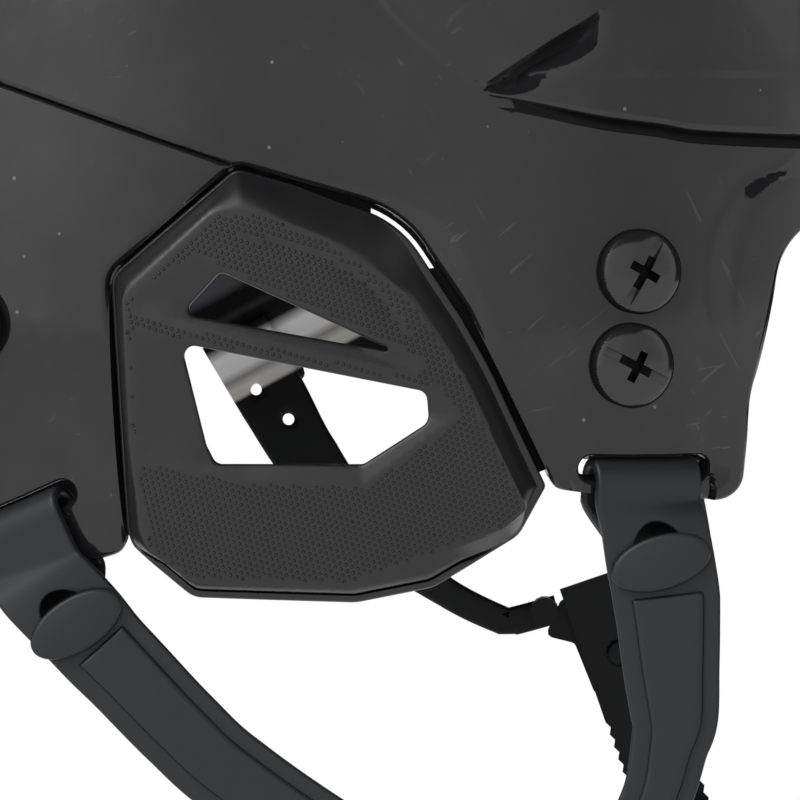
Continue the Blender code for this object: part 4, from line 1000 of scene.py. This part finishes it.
def strap_body(name, line, material, panel, holes=(), teeth=None):
    """Moulded strap: a flat band with rounded edges, a raised panel on its face, and oval holes."""
    centres, acrosses, wide = line
    run = length_along(centres)
    forward = np.gradient(centres, axis=0)
    faceward = np.cross(acrosses, forward)
    faceward /= np.linalg.norm(faceward, axis=1, keepdims=True)
    count = int(run[-1] / 0.9)
    s = np.linspace(0, run[-1], count)
    half = np.interp(s, run, wide) / 2
    bite = np.zeros(count)
    if teeth:
        start, stop, pitch, depth, sign = teeth
        zone = (s > start) & (s < stop)
        bite = np.where(zone, depth * (0.5 - 0.5 * np.cos(2 * math.pi * s / pitch)), 0)
    right = np.stack([s, half - (bite if teeth and sign > 0 else 0)], 1)
    left = np.stack([s, -half + (bite if teeth and sign < 0 else 0)], 1)
    ends = lambda at, low, high: np.stack([np.full(9, at), np.linspace(low, high, 11)[1:-1]], 1)
    far_end, near_end = ends(run[-1], right[-1, 1], left[-1, 1]), ends(0, left[0, 1], right[0, 1])
    loop = np.vstack([right, far_end, left[::-1], near_end])
    outline = None
    if panel:
        at = np.linspace(*panel, 80)
        inset = lambda at, sign: np.interp(at, s, half) - (PANEL_MARGINS[0] if sign < 0 else PANEL_MARGINS[1])
        back = at[::-1]
        outline = np.vstack([np.stack([at, inset(at, 1)], 1), np.stack([back, -inset(back, -1)], 1)])
        outline = resample(outline, 0.8, closed=True)
    loops, rings = [loop], [offset_loop(loop, d) for d in ring_depths(0.75, 4)]
    for hole_s, hole_t, long_half, wide_half in holes:
        ring = circle(48) * (long_half, wide_half) + (hole_s, hole_t)
        loops.append(ring)
        rings += [offset_loop(ring, -d) for d in ring_depths(0.5, 3)]
    if panel:
        rings += [offset_loop(outline, d) for d in (-0.35, 0.05, 0.15, 0.3, 0.6, 0.9)]
    points = np.vstack(rings)
    fill = hex_points(loop.min(0), loop.max(0), 1.25)
    near = signed(fill, loop)
    if panel:
        near = np.minimum(near, nearest(fill, outline, closed=True)[0])
    for ring in loops[1:]:
        near = np.minimum(near, -signed(fill, ring))
    points = np.vstack([thin(points[signed(points, loop) > 0.05], 0.15), fill[near > 1.1]])
    for ring in loops[1:]:
        points = points[signed(points, ring) < -0.03]
    lines = [closed_line(outline)] if panel else []
    flat, faces = triangulate(loops, lines, points)
    along = lambda values: np.stack([np.interp(flat[:, 0], run, values[:, a]) for a in range(3)], 1)
    middle, across, outward = along(centres), along(acrosses), along(faceward)
    down = roll(np.maximum(signed(flat, loop), 0), 0.75)
    for ring in loops[1:]:
        down = np.maximum(down, roll(np.maximum(-signed(flat, ring), 0), 0.5))
    into = signed(flat, outline) if panel else np.zeros(len(flat))
    lift = 1.2 * (1 - roll(np.clip(into, 0, 0.9), 0.9) / 0.9) * (into > 0)
    half_thick = STRAP_THICK / 2
    sheet = middle + across * flat[:, 1:]
    top = sheet + outward * (half_thick - down + lift)[:, None]
    bottom = sheet - outward * (half_thick - np.minimum(down, 0.5))[:, None]
    points, polygons = plate(top, bottom, faces)
    return mesh_object(name, points, polygons, material, 46)


def button_on(name, head, tilt, out, material):
    """Oval button with a rolled rim, on a round neck that rises through the strap's hole."""
    long_way = np.array((math.cos(tilt), 0.0, math.sin(tilt)))
    short_way = np.cross(long_way, out)
    seat = STRAP_THICK / 2 + 0.35
    length, width, thick = BUTTON_SIZE
    rim = width / 2
    profile = [(0, seat - 0.05), (rim - 0.7, seat)]
    low, high = 0.7, 0.9
    for a in np.linspace(0.2, math.pi / 2, 5):
        profile.append((rim - low + low * math.sin(a), seat + low - low * math.cos(a)))
    for a in np.linspace(0.15, math.pi / 2, 8):
        profile.append((rim - high + high * math.cos(a), seat + high + (thick - 1.4) * math.sin(a)))
    profile += [(rim * 0.6, seat + thick - 0.22), (rim * 0.3, seat + thick - 0.06), (0, seat + thick)]
    cap, polygons = lathe(profile, 64)
    cap[:, 0] *= length / width
    neck_low = -(STRAP_THICK + TAIL_GAP) - 0.4
    neck, neck_faces = lathe([(0, neck_low), (2.6, neck_low), (2.6, seat + 0.4), (0, seat + 0.4)], 32)
    local = np.vstack([cap, neck])
    polygons = polygons + [tuple(i + len(cap) for i in f) for f in neck_faces]
    points = head + local[:, :1] * long_way + local[:, 1:2] * short_way + local[:, 2:] * out
    return mesh_object(name, points, polygons, material, 50)


def buttoned_strap(name, path, slot, web, button, side, material, panel_top, teeth_top=None):
    """Strap with its hole and button, as two pieces."""
    line = strap_line(path, slot, web, button, side)
    centres, acrosses, wide, head, down, out = line
    run = length_along(centres)
    outer_leg = np.arange(len(centres)) < len(centres) - BACK_STATIONS
    place = lambda z: float(run[outer_leg][np.abs(centres[outer_leg, 2] - z).argmin()])
    hole_at = head - down * HOLE_RISE
    nearest_one = np.linalg.norm(centres[outer_leg] - hole_at, axis=1).argmin()
    offset = hole_at - centres[nearest_one]
    forward = unit(centres[nearest_one + 1] - centres[nearest_one - 1])
    hole_s, hole_t = run[nearest_one] + offset @ forward, offset @ acrosses[nearest_one]
    hole = (hole_s, hole_t, HOLE_SIZE[1] / 2, HOLE_SIZE[0] / 2)
    teeth = (6.0, place(teeth_top), 2.5, 0.7, -1) if teeth_top else None
    panel = (6.0, place(panel_top))
    body = strap_body(name, (centres, acrosses, wide), material, panel, [hole], teeth)
    knob = button_on(name + "_button", head, button[2], out, material)
    return body, knob


BAND_PATH = (
    (-28.5, 10, 15.4), (-19.8, -5, 15), (-12, -18, 13.6), (2, -34.5, 9), (17, -46, 6.4), (29, -52.0, 6.1),
    (31.5, -52.2, 6.1), (41, -49.6, 6.1),
)

# Snap holes of the far band, as (x, z).
SNAP_HOLES = ((-23.5, -2.9), (-16.8, -8.8))


def make_band(name, material):
    """Slim band of the far side, from the hanger forward to the yoke, with two snap holes."""
    points = [np.array((x, HANG_Y, z)) for x, z, _ in reversed(BAND_PATH)]
    widths = [w for _, _, w in reversed(BAND_PATH)]
    centres = np.array(spline(points, 9))
    forward = np.gradient(centres, axis=0)
    acrosses = np.cross(forward, (0, -1, 0))
    acrosses /= np.linalg.norm(acrosses, axis=1, keepdims=True)
    wide = np.interp(np.arange(len(centres)) / 9, range(len(widths)), widths)
    run = length_along(centres)
    holes = []
    for x, z in SNAP_HOLES:
        k = np.linalg.norm(centres[:, [0, 2]] - (x, z), axis=1).argmin()
        offset = np.array((x, HANG_Y, z)) - centres[k]
        holes.append((run[k], offset @ acrosses[k], 1.25, 1.25))
    return strap_body(name, (centres, acrosses, wide), material, None, holes)


HANGER_OUTLINE = (
    (-41, 56.5, 4), (-17, 56.5, 4), (13, 15, 4), (10.5, 1.8, 2), (-14.5, 5.2, 1), (-13.2, 0.5, 1.2),
    (-15, -2.0, 1.2), (-26.6, -5.6, 1), (-38.5, 11, 3),
)


def make_hanger(material):
    """Wide moulded hanger inside the shell above the far ear opening, with a tongue over the band."""
    outline = resample(rounded(HANGER_OUTLINE), 0.7, closed=True)
    fill = hex_points(outline.min(0), outline.max(0), 1.6)
    rings = np.vstack([offset_loop(outline, depth) for depth in ring_depths(0.6, 3)])
    rings = rings[signed(rings, outline) > 0.03]
    hole = np.array(SNAP_HOLES[0]) + 1.5 * circle(32)
    inner = np.vstack([thin(rings, 0.1), fill[signed(fill, outline) > 1.0]])
    inner = inner[signed(inner, hole) < -0.3]
    flat, faces = triangulate([outline, hole], [], inner)
    hug = side_depth(flat[:, 0], flat[:, 1]) - WALL - 1.0
    hang = HANG_Y + STRAP_THICK / 2 + GAP + 2.0
    share = ease((flat[:, 1] - 20) / 22)
    outer = hang + (hug - hang) * share
    down = roll(np.maximum(signed(flat, outline), 0), 0.6)
    top = np.stack([flat[:, 0], outer - 2.0 + down, flat[:, 1]], 1)
    bottom = np.stack([flat[:, 0], outer - down * 0.8, flat[:, 1]], 1)
    points, polygons = plate(top, bottom, faces)
    return mesh_object("left_hanger_plate", points, polygons, material, 40)


# Liner and pads


def remeshed(node, name, material, voxel, swell=0.0, relax=6, pressure=0.0, cap=6.0):
    """Soft copy of a CAD solid: evened out, puffed by cloth pressure if asked, and smoothed."""
    source = bpy.data.objects[node]
    made = bpy.data.objects.new(name, source.data.copy())
    made.matrix_world = source.matrix_world.copy()
    bpy.context.scene.collection.objects.link(made)
    grid = made.modifiers.new("even", "REMESH")
    grid.mode = "VOXEL"
    grid.voxel_size = voxel * MM
    apply_modifiers(made)
    edit = bmesh.new()
    edit.from_mesh(made.data)
    for _ in range(relax):
        axes = {"use_axis_x": True, "use_axis_y": True, "use_axis_z": True}
        bmesh.ops.smooth_vert(edit, verts=edit.verts, factor=0.5, **axes)
    edit.normal_update()
    for vert in edit.verts:
        vert.co += vert.normal * swell * MM
    edit.to_mesh(made.data)
    edit.free()
    if pressure:
        rest = np.array([tuple(v.co) for v in made.data.vertices])
        cloth = made.modifiers.new("puff", "CLOTH")
        cloth.settings.use_pressure = True
        cloth.settings.uniform_pressure_force = pressure
        cloth.settings.effector_weights.gravity = 0
        cloth.settings.quality = 4
        for step in range(1, 21):
            bpy.context.scene.frame_set(step)
        apply_modifiers(made)
        bpy.context.scene.frame_set(1)
        moved = np.array([tuple(v.co) for v in made.data.vertices]) - rest
        far = np.linalg.norm(moved, axis=1, keepdims=True)
        moved *= np.minimum(1, cap * MM / np.maximum(far, 1e-9))
        for vert, place in zip(made.data.vertices, rest + moved):
            vert.co = place
    finer = made.modifiers.new("finer", "SUBSURF")
    finer.levels = finer.render_levels = 1
    apply_modifiers(made)
    made.data.materials.clear()
    made.data.materials.append(material)
    made.data.shade_smooth()
    return made


def apply_modifiers(obj):
    """Replaces an object's mesh by its evaluated one."""
    graph = bpy.context.evaluated_depsgraph_get()
    mesh = bpy.data.meshes.new_from_object(obj.evaluated_get(graph))
    obj.modifiers.clear()
    obj.data = mesh


# Materials


def new_material(name, colour, roughness, **sockets):
    made = bpy.data.materials.new(name)
    made.use_nodes = True
    tree = made.node_tree
    shader = tree.nodes["Principled BSDF"]
    shader.inputs["Base Color"].default_value = (*colour, 1)
    shader.inputs["Roughness"].default_value = roughness
    for socket, value in sockets.items():
        shader.inputs[socket.replace("_", " ")].default_value = value
    return made, tree, shader


def node(tree, kind, **values):
    made = tree.nodes.new(kind)
    for key, value in values.items():
        if key in made.inputs:
            made.inputs[key].default_value = value
        else:
            setattr(made, key, value)
    return made


def maths(tree, operation, first, second):
    made = node(tree, "ShaderNodeMath", operation=operation)
    tree.links.new(first, made.inputs[0])
    tree.links.new(second, made.inputs[1])
    return made.outputs[0]


def cell_distance(tree, scale):
    """Distance to the nearest of many scattered points."""
    place = node(tree, "ShaderNodeTexCoord")
    made = node(tree, "ShaderNodeTexVoronoi", Scale=scale)
    tree.links.new(place.outputs["Object"], made.inputs["Vector"])
    return made.outputs["Distance"]


def share_along(tree, place, axis, low, high):
    """0 to 1 as one axis of a place goes from low to high, in metres."""
    split = node(tree, "ShaderNodeSeparateXYZ")
    tree.links.new(place, split.inputs["Vector"])
    spread = node(tree, "ShaderNodeMapRange", **{"From Min": low, "From Max": high})
    tree.links.new(split.outputs[axis], spread.inputs["Value"])
    return spread.outputs["Result"]


def mixed(tree, share, first, second, output):
    """Sends the mix of two shaders to an output node."""
    mix = node(tree, "ShaderNodeMixShader")
    tree.links.new(share, mix.inputs[0])
    tree.links.new(first.outputs[0], mix.inputs[1])
    tree.links.new(second.outputs[0], mix.inputs[2])
    tree.links.new(mix.outputs[0], tree.nodes[output].inputs["Surface"])


def noise(tree, scale, detail=4.0, rough=0.5, stretch=None):
    place = node(tree, "ShaderNodeTexCoord")
    texture = node(tree, "ShaderNodeTexNoise", Scale=scale, Detail=detail, Roughness=rough)
    if stretch:
        mapping = node(tree, "ShaderNodeMapping", vector_type="TEXTURE")
        mapping.inputs["Rotation"].default_value = stretch[0]
        mapping.inputs["Scale"].default_value = [1 / c for c in stretch[1]]
        tree.links.new(place.outputs["Object"], mapping.inputs["Vector"])
        tree.links.new(mapping.outputs["Vector"], texture.inputs["Vector"])
    else:
        tree.links.new(place.outputs["Object"], texture.inputs["Vector"])
    return texture.outputs["Fac"]


def ramp(tree, source, stops, smooth=False):
    """Colour ramp from (position, value or colour) stops."""
    made = node(tree, "ShaderNodeValToRGB")
    made.color_ramp.interpolation = "EASE" if smooth else "LINEAR"
    elements = made.color_ramp.elements
    while len(elements) < len(stops):
        elements.new(0.5)
    for element, (position, value) in zip(elements, stops):
        element.position = position
        element.color = (*value, 1) if isinstance(value, tuple) else (value, value, value, 1)
    tree.links.new(source, made.inputs["Fac"])
    return made.outputs["Color"]


def bump(tree, shader, layers):
    """Chain of bumps on the shader from (height output, strength, distance in metres)."""
    previous = None
    for height, strength, distance in layers:
        made = node(tree, "ShaderNodeBump", Strength=strength, Distance=distance)
        tree.links.new(height, made.inputs["Height"])
        if previous:
            tree.links.new(previous, made.inputs["Normal"])
        previous = made.outputs["Normal"]
    tree.links.new(previous, shader.inputs["Normal"])


def gloss_black(name="shell_gloss"):
    """Glossy moulding with handling marks: soft smudges, hair scratches and dust."""
    made, tree, shader = new_material(name, (0.009, 0.009, 0.010), 0.07)
    smudge = noise(tree, 38, 5, 0.6)
    fine = noise(tree, 420, 3, 0.6, ((0, 0.5, 0), (1, 1, 0.25)))
    worn = maths(tree, "MULTIPLY", smudge, fine)
    tree.links.new(ramp(tree, worn, [(0.2, 0.05), (0.42, 0.17)]), shader.inputs["Roughness"])
    sheen = ramp(tree, noise(tree, 14, 5, 0.62), [(0.3, 0.40), (0.7, 0.58)], smooth=True)
    tree.links.new(sheen, shader.inputs["Specular IOR Level"])
    dirt = None
    for turn, scale, low in ((0.9, 620, 0.68), (-0.5, 760, 0.69), (1.35, 700, 0.69)):
        hairs = noise(tree, scale, 2, 0.5, ((0, turn, 0.3), (1, 1, 0.03)))
        scratch = ramp(tree, hairs, [(low, 0.0), (low + 0.05, 1.0)])
        patch = ramp(tree, noise(tree, 22 + scale / 100, 2, 0.5), [(0.5, 0.0), (0.68, 1.0)])
        both = maths(tree, "MULTIPLY", scratch, patch)
        dirt = maths(tree, "MAXIMUM", dirt, both) if dirt else both
    dust = ramp(tree, cell_distance(tree, 110.0), [(0.03, 1.0), (0.045, 0.0)])
    marks = maths(tree, "MAXIMUM", ramp(tree, dirt, [(0.0, 0.0), (1.0, 0.3)]), dust)
    tone = ramp(tree, marks, [(0.0, (0.009, 0.009, 0.010)), (1.0, (0.10, 0.10, 0.105))])
    tree.links.new(tone, shader.inputs["Base Color"])
    bump(tree, shader, [(noise(tree, 16, 2, 0.4), 0.10, 0.0006)])
    return made


def satin_black(name="guard_satin"):
    made, tree, shader = new_material(name, (0.008, 0.008, 0.009), 0.4, Specular_IOR_Level=0.5)
    grain = noise(tree, 2600, 2, 0.5)
    wear = ramp(tree, noise(tree, 60, 4, 0.6), [(0.35, 0.33), (0.65, 0.42)])
    tree.links.new(wear, shader.inputs["Roughness"])
    bump(tree, shader, [(grain, 0.25, 0.00008)])
    return made


def grained(name, colour, roughness, grain, strength, distance, **sockets):
    """Plain material with a fine grain of (scale, detail, roughness)."""
    made, tree, shader = new_material(name, colour, roughness, **sockets)
    bump(tree, shader, [(noise(tree, *grain), strength, distance)])
    return made


# Painted highlight and painted shade: base colours along a slanted axis, with pale bands where a lamp's
# reflection would fall, black bands for shade and blue-grey where lit.
PAINTED_SHEEN_TILT = math.radians(28)
PAINTED_SHEEN_FROM, PAINTED_SHEEN_TO = 0.0, 40.0
PAINTED_SHEEN_BANDS = [
    (0.0, (0.006, 0.0065, 0.0075)), (0.205, (0.006, 0.006, 0.007)), (0.225, (0.55, 0.52, 0.48)),
    (0.27, (0.60, 0.57, 0.54)), (0.315, (0.28, 0.265, 0.245)), (0.36, (0.80, 0.79, 0.79)),
    (0.45, (0.90, 0.90, 0.91)), (0.485, (0.4, 0.4, 0.4)), (0.515, (0.010, 0.010, 0.010)),
    (0.60, (0.006, 0.006, 0.006)), (0.63, (0.04, 0.037, 0.035)), (0.66, (0.006, 0.006, 0.006)),
    (0.73, (0.006, 0.006, 0.006)), (0.78, (0.085, 0.097, 0.113)), (1.0, (0.095, 0.108, 0.125)),
]


def far_strap_painted_sheen(name="far_strap_painted_sheen"):
    """Strap seen through the vents, with painted highlight and painted shade: its base colour turns from a
    pale sheen to black across slanted bands, standing in for a lamp's reflection on the bent strap.
    """
    made, tree, shader = new_material(name, (0.010, 0.011, 0.013), 0.35, Specular_IOR_Level=0.16)
    place = node(tree, "ShaderNodeTexCoord")
    axis = node(tree, "ShaderNodeMapping")
    axis.inputs["Rotation"].default_value = (0, PAINTED_SHEEN_TILT, 0)
    tree.links.new(place.outputs["Object"], axis.inputs["Vector"])
    share = share_along(tree, axis.outputs["Vector"], "Z", PAINTED_SHEEN_FROM * MM, PAINTED_SHEEN_TO * MM)
    # The base colour carries the painted highlight and painted shade.
    tone = ramp(tree, share, PAINTED_SHEEN_BANDS)
    tree.links.new(tone, shader.inputs["Base Color"])
    bump(tree, shader, [(noise(tree, 900, 2, 0.5), 0.08, 0.00005)])
    return made


def foam_grey(name="liner_foam"):
    """Bead foam: small closed cells with fine dark joints."""
    made, tree, shader = new_material(name, (0.035, 0.036, 0.038), 0.75, Specular_IOR_Level=0.35)
    beads = cell_distance(tree, 330.0)
    tone = ramp(tree, beads, [(0.15, (0.05, 0.051, 0.054)), (0.75, (0.018, 0.018, 0.02))])
    tree.links.new(tone, shader.inputs["Base Color"])
    bump(tree, shader, [(ramp(tree, beads, [(0.1, 1.0), (0.8, 0.0)]), 0.5, 0.0004)])
    return made


def pad_cloth(name="pad_cloth"):
    """Knitted cover of the comfort pads."""
    cloth = {"Specular_IOR_Level": 0.3, "Sheen_Weight": 0.35}
    made, tree, shader = new_material(name, (0.018, 0.018, 0.02), 0.9, **cloth)
    knit = cell_distance(tree, 900.0)
    tone = ramp(tree, knit, [(0.2, (0.03, 0.03, 0.033)), (0.7, (0.008, 0.008, 0.009))])
    tree.links.new(tone, shader.inputs["Base Color"])
    bump(tree, shader, [(noise(tree, 120, 3, 0.5), 0.3, 0.0006), (knit, 0.5, 0.0003)])
    return made


def brushed_steel(name="steel"):
    made, tree, shader = new_material(name, (0.46, 0.46, 0.47), 0.3, Metallic=1.0)
    streaks = noise(tree, 700, 3, 0.6, ((0, 0.4, 0), (1, 1, 0.08)))
    tree.links.new(ramp(tree, streaks, [(0.35, 0.24), (0.65, 0.4)]), shader.inputs["Roughness"])
    bump(tree, shader, [(streaks, 0.1, 0.00004)])
    return made


# Camera, light and floor
# The photograph's view: the camera's place, the point it looks at, and the angle it takes in.
CAMERA_AT, CAMERA_AIM, CAMERA_ANGLE = (61, -1592, 38), (13.3, -98, 0), 5.82
# Even light from all round, and the key light's side in metres, power in watts and place in metres.
FILL_LIGHT = 0.85
KEY_SIZE, KEY_POWER, KEY_AT = 1.0, 45.0, (-1.3, -1.25, 1.75)
# Floor height, and the dark cards as (name, middle, size, place faced), in metres.
FLOOR_Z, FLOOR_HALF = -0.21, 4.0
DARK_CARDS = (
    ("card_right", (1.25, 0.98, 0.3), (2.2, 2.6), (0, 0.98, 0.3)),
    ("card_left", (-1.25, 0.98, 0.3), (2.2, 2.6), (0, 0.98, 0.3)),
    ("card_top", (0, -0.03, 1.3), (2.6, 3.36), (0, -0.03, 0)),
)


def make_camera():
    data = bpy.data.cameras.new("photo_camera")
    data.sensor_width = 36
    data.lens = 36 / 2 / math.tan(math.radians(CAMERA_ANGLE) / 2)
    data.clip_end = 20
    camera = bpy.data.objects.new("photo_camera", data)
    place = Vector(CAMERA_AT) * MM
    camera.location = place
    camera.rotation_euler = (Vector(CAMERA_AIM) * MM - place).to_track_quat("-Z", "Y").to_euler()
    bpy.context.scene.collection.objects.link(camera)
    bpy.context.scene.camera = camera


def background(tree):
    """1 for rays from the camera, mirrors and clear pieces, which see plain white, and 0 for all else."""
    seen = node(tree, "ShaderNodeLightPath")
    direct = maths(tree, "MAXIMUM", seen.outputs["Is Camera Ray"], seen.outputs["Is Transmission Ray"])
    return maths(tree, "MAXIMUM", direct, seen.outputs["Is Glossy Ray"])


def make_light():
    world = bpy.data.worlds.new("studio")
    bpy.context.scene.world = world
    world.use_nodes = True
    tree = world.node_tree
    plain_light = tree.nodes["Background"]
    plain_light.inputs["Color"].default_value = (1, 1, 1, 1)
    plain_light.inputs["Strength"].default_value = FILL_LIGHT
    white = node(tree, "ShaderNodeBackground", Strength=1.0)
    white.inputs["Color"].default_value = (1, 1, 1, 1)
    mixed(tree, background(tree), plain_light, white, "World Output")
    bpy.context.scene.view_settings.view_transform = "Standard"


def sheet(name, corners, order=(0, 1, 2, 3)):
    """Flat four-cornered studio piece. Its corners are in metres."""
    data = bpy.data.meshes.new(name)
    data.from_pydata(corners, [], [order])
    made = bpy.data.objects.new(name, data)
    bpy.context.scene.collection.objects.link(made)
    return made


def seen_by_mirrors_only(card):
    card.visible_camera = card.visible_diffuse = False
    card.visible_shadow = card.visible_transmission = False


def dark_card(name, middle, size, face_to):
    """Black studio card that only mirrors see."""
    w, h = size[0] / 2, size[1] / 2
    card = sheet(name, [(-w, -h, 0), (w, -h, 0), (w, h, 0), (-w, h, 0)])
    card.location = middle
    card.rotation_euler = (Vector(face_to) - Vector(middle)).to_track_quat("Z", "Y").to_euler()
    made = new_material(name + "_black", (0.002, 0.002, 0.002), 1.0, Specular_IOR_Level=0.0)
    card.data.materials.append(made[0])
    seen_by_mirrors_only(card)


def glow_card():
    """Wide softbox behind the camera, brighter to the rear of the helmet, that only mirrors see."""
    half, back, low, high = 7.0, -1.9, -1.2, 2.8
    corners = [(-half, back, low), (half, back, low), (half, back, high), (-half, back, high)]
    card = sheet("glow_card", corners, (0, 3, 2, 1))
    made, tree, _ = new_material("glow_card", (0, 0, 0), 1.0)
    place = node(tree, "ShaderNodeTexCoord")
    share = share_along(tree, place.outputs["Object"], "X", -half, half)
    stops = [(0.1, 0.67), (0.38, 0.95), (0.5, 0.60), (0.62, 0.46), (1.0, 0.60)]
    level = ramp(tree, share, stops, smooth=True)
    glow = node(tree, "ShaderNodeEmission", Strength=1.5)
    tree.links.new(level, glow.inputs["Color"])
    tree.links.new(glow.outputs[0], tree.nodes["Material Output"].inputs["Surface"])
    card.data.materials.append(made)
    seen_by_mirrors_only(card)


def key_light():
    """Soft box up to the rear and front, for the sheen on satin pieces."""
    data = bpy.data.lights.new("key", "AREA")
    data.size, data.energy = KEY_SIZE, KEY_POWER
    light = bpy.data.objects.new("key", data)
    light.location = KEY_AT
    light.rotation_euler = (-Vector(light.location)).to_track_quat("-Z", "Y").to_euler()
    bpy.context.scene.collection.objects.link(light)


def make_floor():
    signs = ((-1, -1), (1, -1), (1, 1), (-1, 1))
    floor = sheet("floor", [(a * FLOOR_HALF, b * FLOOR_HALF, FLOOR_Z) for a, b in signs])
    made, tree, shader = new_material("floor_white", (0.85, 0.85, 0.85), 0.9)
    glow = node(tree, "ShaderNodeEmission", Strength=1.0)
    mixed(tree, background(tree), shader, glow, "Material Output")
    floor.data.materials.append(made)


GLOSS = gloss_black()
SATIN = satin_black()
RUBBER = grained(
    "strap_rubber", (0.011, 0.012, 0.0138), 0.46, (1800, 2, 0.5), 0.12, 0.00006, Specular_IOR_Level=0.36
)
SCREW = grained(
    "screw_gloss", (0.010, 0.010, 0.0115), 0.16, (500, 3, 0.6), 0.10, 0.00006, Specular_IOR_Level=0.6
)
FOAM = foam_grey()
PAD = pad_cloth()
STEEL = brushed_steel()
NYLON = grained(
    "moulded_nylon", (0.014, 0.014, 0.015), 0.45, (1500, 3, 0.6), 0.25, 0.00008, Specular_IOR_Level=0.5
)
FAR_PAINTED_SHEEN = far_strap_painted_sheen()
BLACK_STEEL = grained("black_steel", (0.02, 0.02, 0.021), 0.35, (700, 3, 0.6), 0.12, 0.00005, Metallic=0.6)
# Near-black matte: the guard frame's own black, and painted shadow on the screw heads' rim rings and cross
# slots.
DEEP_BLACK_AND_PAINTED_SHADOW = grained(
    "frame_black_and_painted_shadow", (0.003, 0.003, 0.003), 0.7, (900, 3, 0.6), 0.15, 0.0001, Specular_IOR_Level=0.12
)

make_camera()
make_light()
make_floor()
for card_values in DARK_CARDS:
    dark_card(*card_values)
glow_card()
key_light()


def carried(piece, body, slot, *nodes):
    """Rides a finished piece on its body, in place of the CAD solids it stands for."""
    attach(piece, body)
    if nodes:
        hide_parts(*nodes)
    return piece


def bent(piece, body, start, end, slot, *nodes):
    """Bakes a strap's placement into its mesh and hides the CAD solids it stands for."""
    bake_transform(piece)
    if nodes:
        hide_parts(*nodes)
    return piece


carried(make_shell(GLOSS), "helmet", "shell", "shell")
carried(make_peak(GLOSS), "helmet", "shell")
carried(make_guard(SATIN), "helmet", "guard", "right_ear_guard")
carried(make_guard_frame(DEEP_BLACK_AND_PAINTED_SHADOW), "helmet", "guard", "ear_guard_frame")
# The hanger wears the far strap's painted highlight and painted shade.
carried(make_hanger(FAR_PAINTED_SHEEN), "helmet", "strap", "left_strap_hanger")
for side_name, side in (("right", -1), ("left", 1)):
    for end, place in zip(SCREW_TURNS, (*FRONT_SCREWS, REAR_SCREW)):
        screw = make_screw(f"{side_name}_{end}_screw_head", place, side, SCREW_TURNS[end], SCREW, DEEP_BLACK_AND_PAINTED_SHADOW)
        carried(screw, "helmet", "screw", f"{side_name}_{end}_screw")

FRONT_FIT = (FRONT_SLOT, FRONT_WEB, FRONT_BUTTON)
REAR_FIT = (REAR_SLOT, REAR_WEB, REAR_BUTTON)
FRONT_PANEL_TOP, REAR_PANEL_TOP, REAR_TEETH_TOP = -37.2, -47.3, -74
FRONT_BEND, REAR_BEND = np.array((64, -HANG_Y, -38.4)), np.array((-43.7, -HANG_Y, -51.0))
UP_THE_STRAP = np.array((-0.116, 0, 0.993))
BEND_ABOVE, BEND_BELOW, FAR_BEND_Z = 2, 8, (-36.4, -46)
front = buttoned_strap("right_front_harness_strap", FRONT_PATH, *FRONT_FIT, -1, RUBBER, FRONT_PANEL_TOP)
rear = buttoned_strap(
    "right_rear_harness_strap", REAR_PATH, *REAR_FIT, -1, RUBBER, REAR_PANEL_TOP, REAR_TEETH_TOP
)
for (strap, _), at, end in ((front, FRONT_BEND, "front"), (rear, REAR_BEND, "rear")):
    nodes = (f"right_{end}_strap_loop", f"right_{end}_strap")
    start, stop = at + UP_THE_STRAP * BEND_ABOVE, at - UP_THE_STRAP * BEND_BELOW
    bent(strap, "right_harness", start, stop, "strap", *nodes)
for _, knob in (front, rear):
    carried(knob, "helmet", "strap")

far_front, far_button = buttoned_strap(
    "left_front_harness_strap", FRONT_PATH[:4], *FRONT_FIT, 1, RUBBER, FRONT_PANEL_TOP
)
# The far band wears the far strap's painted highlight and painted shade.
band = make_band("left_rear_harness_band", FAR_PAINTED_SHEEN)
for strap, x, nodes in (
    (far_front, 64, ("left_front_strap_loop", "left_front_strap")),
    (band, 9, ("left_rear_band_upper", "left_rear_band")),
):
    start, stop = ((x, HANG_Y, z) for z in FAR_BEND_Z)
    bent(strap, "left_harness", start, stop, "strap", *nodes)
carried(far_button, "helmet", "strap")

for node_name in ("brow_pad", "crown_pad", "nape_pad", "right_jaw_pad", "left_jaw_pad"):
    pad = remeshed(
        node_name, node_name + "_cushion", PAD, voxel=4.0, swell=-1.2, relax=4, pressure=4.0, cap=2.0
    )
    carried(pad, "helmet", "pad", node_name)
chin_pad = remeshed(
    "chin_cup_pad", "chin_cup_cushion", PAD, voxel=2.0, swell=-0.3, relax=2, pressure=2.0, cap=0.6
)
carried(chin_pad, "chin_cup_slider", "pad", "chin_cup_pad")
for node_name in ("front_foam", "crown_foam", "rear_foam", "right_side_foam", "left_side_foam"):
    block = remeshed(node_name, node_name + "_block", FOAM, voxel=2.6, relax=3)
    carried(block, "helmet", "foam", node_name)

# Hanger, yoke, strap and band pieces take the far strap's painted highlight and painted shade.
LOOKS = {
    "hanger": FAR_PAINTED_SHEEN, "yoke": FAR_PAINTED_SHEEN, "strap": FAR_PAINTED_SHEEN, "band": FAR_PAINTED_SHEEN, "nut": STEEL, "rivet": BLACK_STEEL, "pin": STEEL,
    "frame": NYLON, "lever": NYLON, "cup": NYLON,
}
for item in bpy.context.scene.objects:
    if item.type == "MESH" and "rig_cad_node" in item and not item.hide_render:
        kinds = [look for word, look in LOOKS.items() if word in item.name]
        if kinds:
            item.data.materials.clear()
            item.data.materials.append(kinds[0])
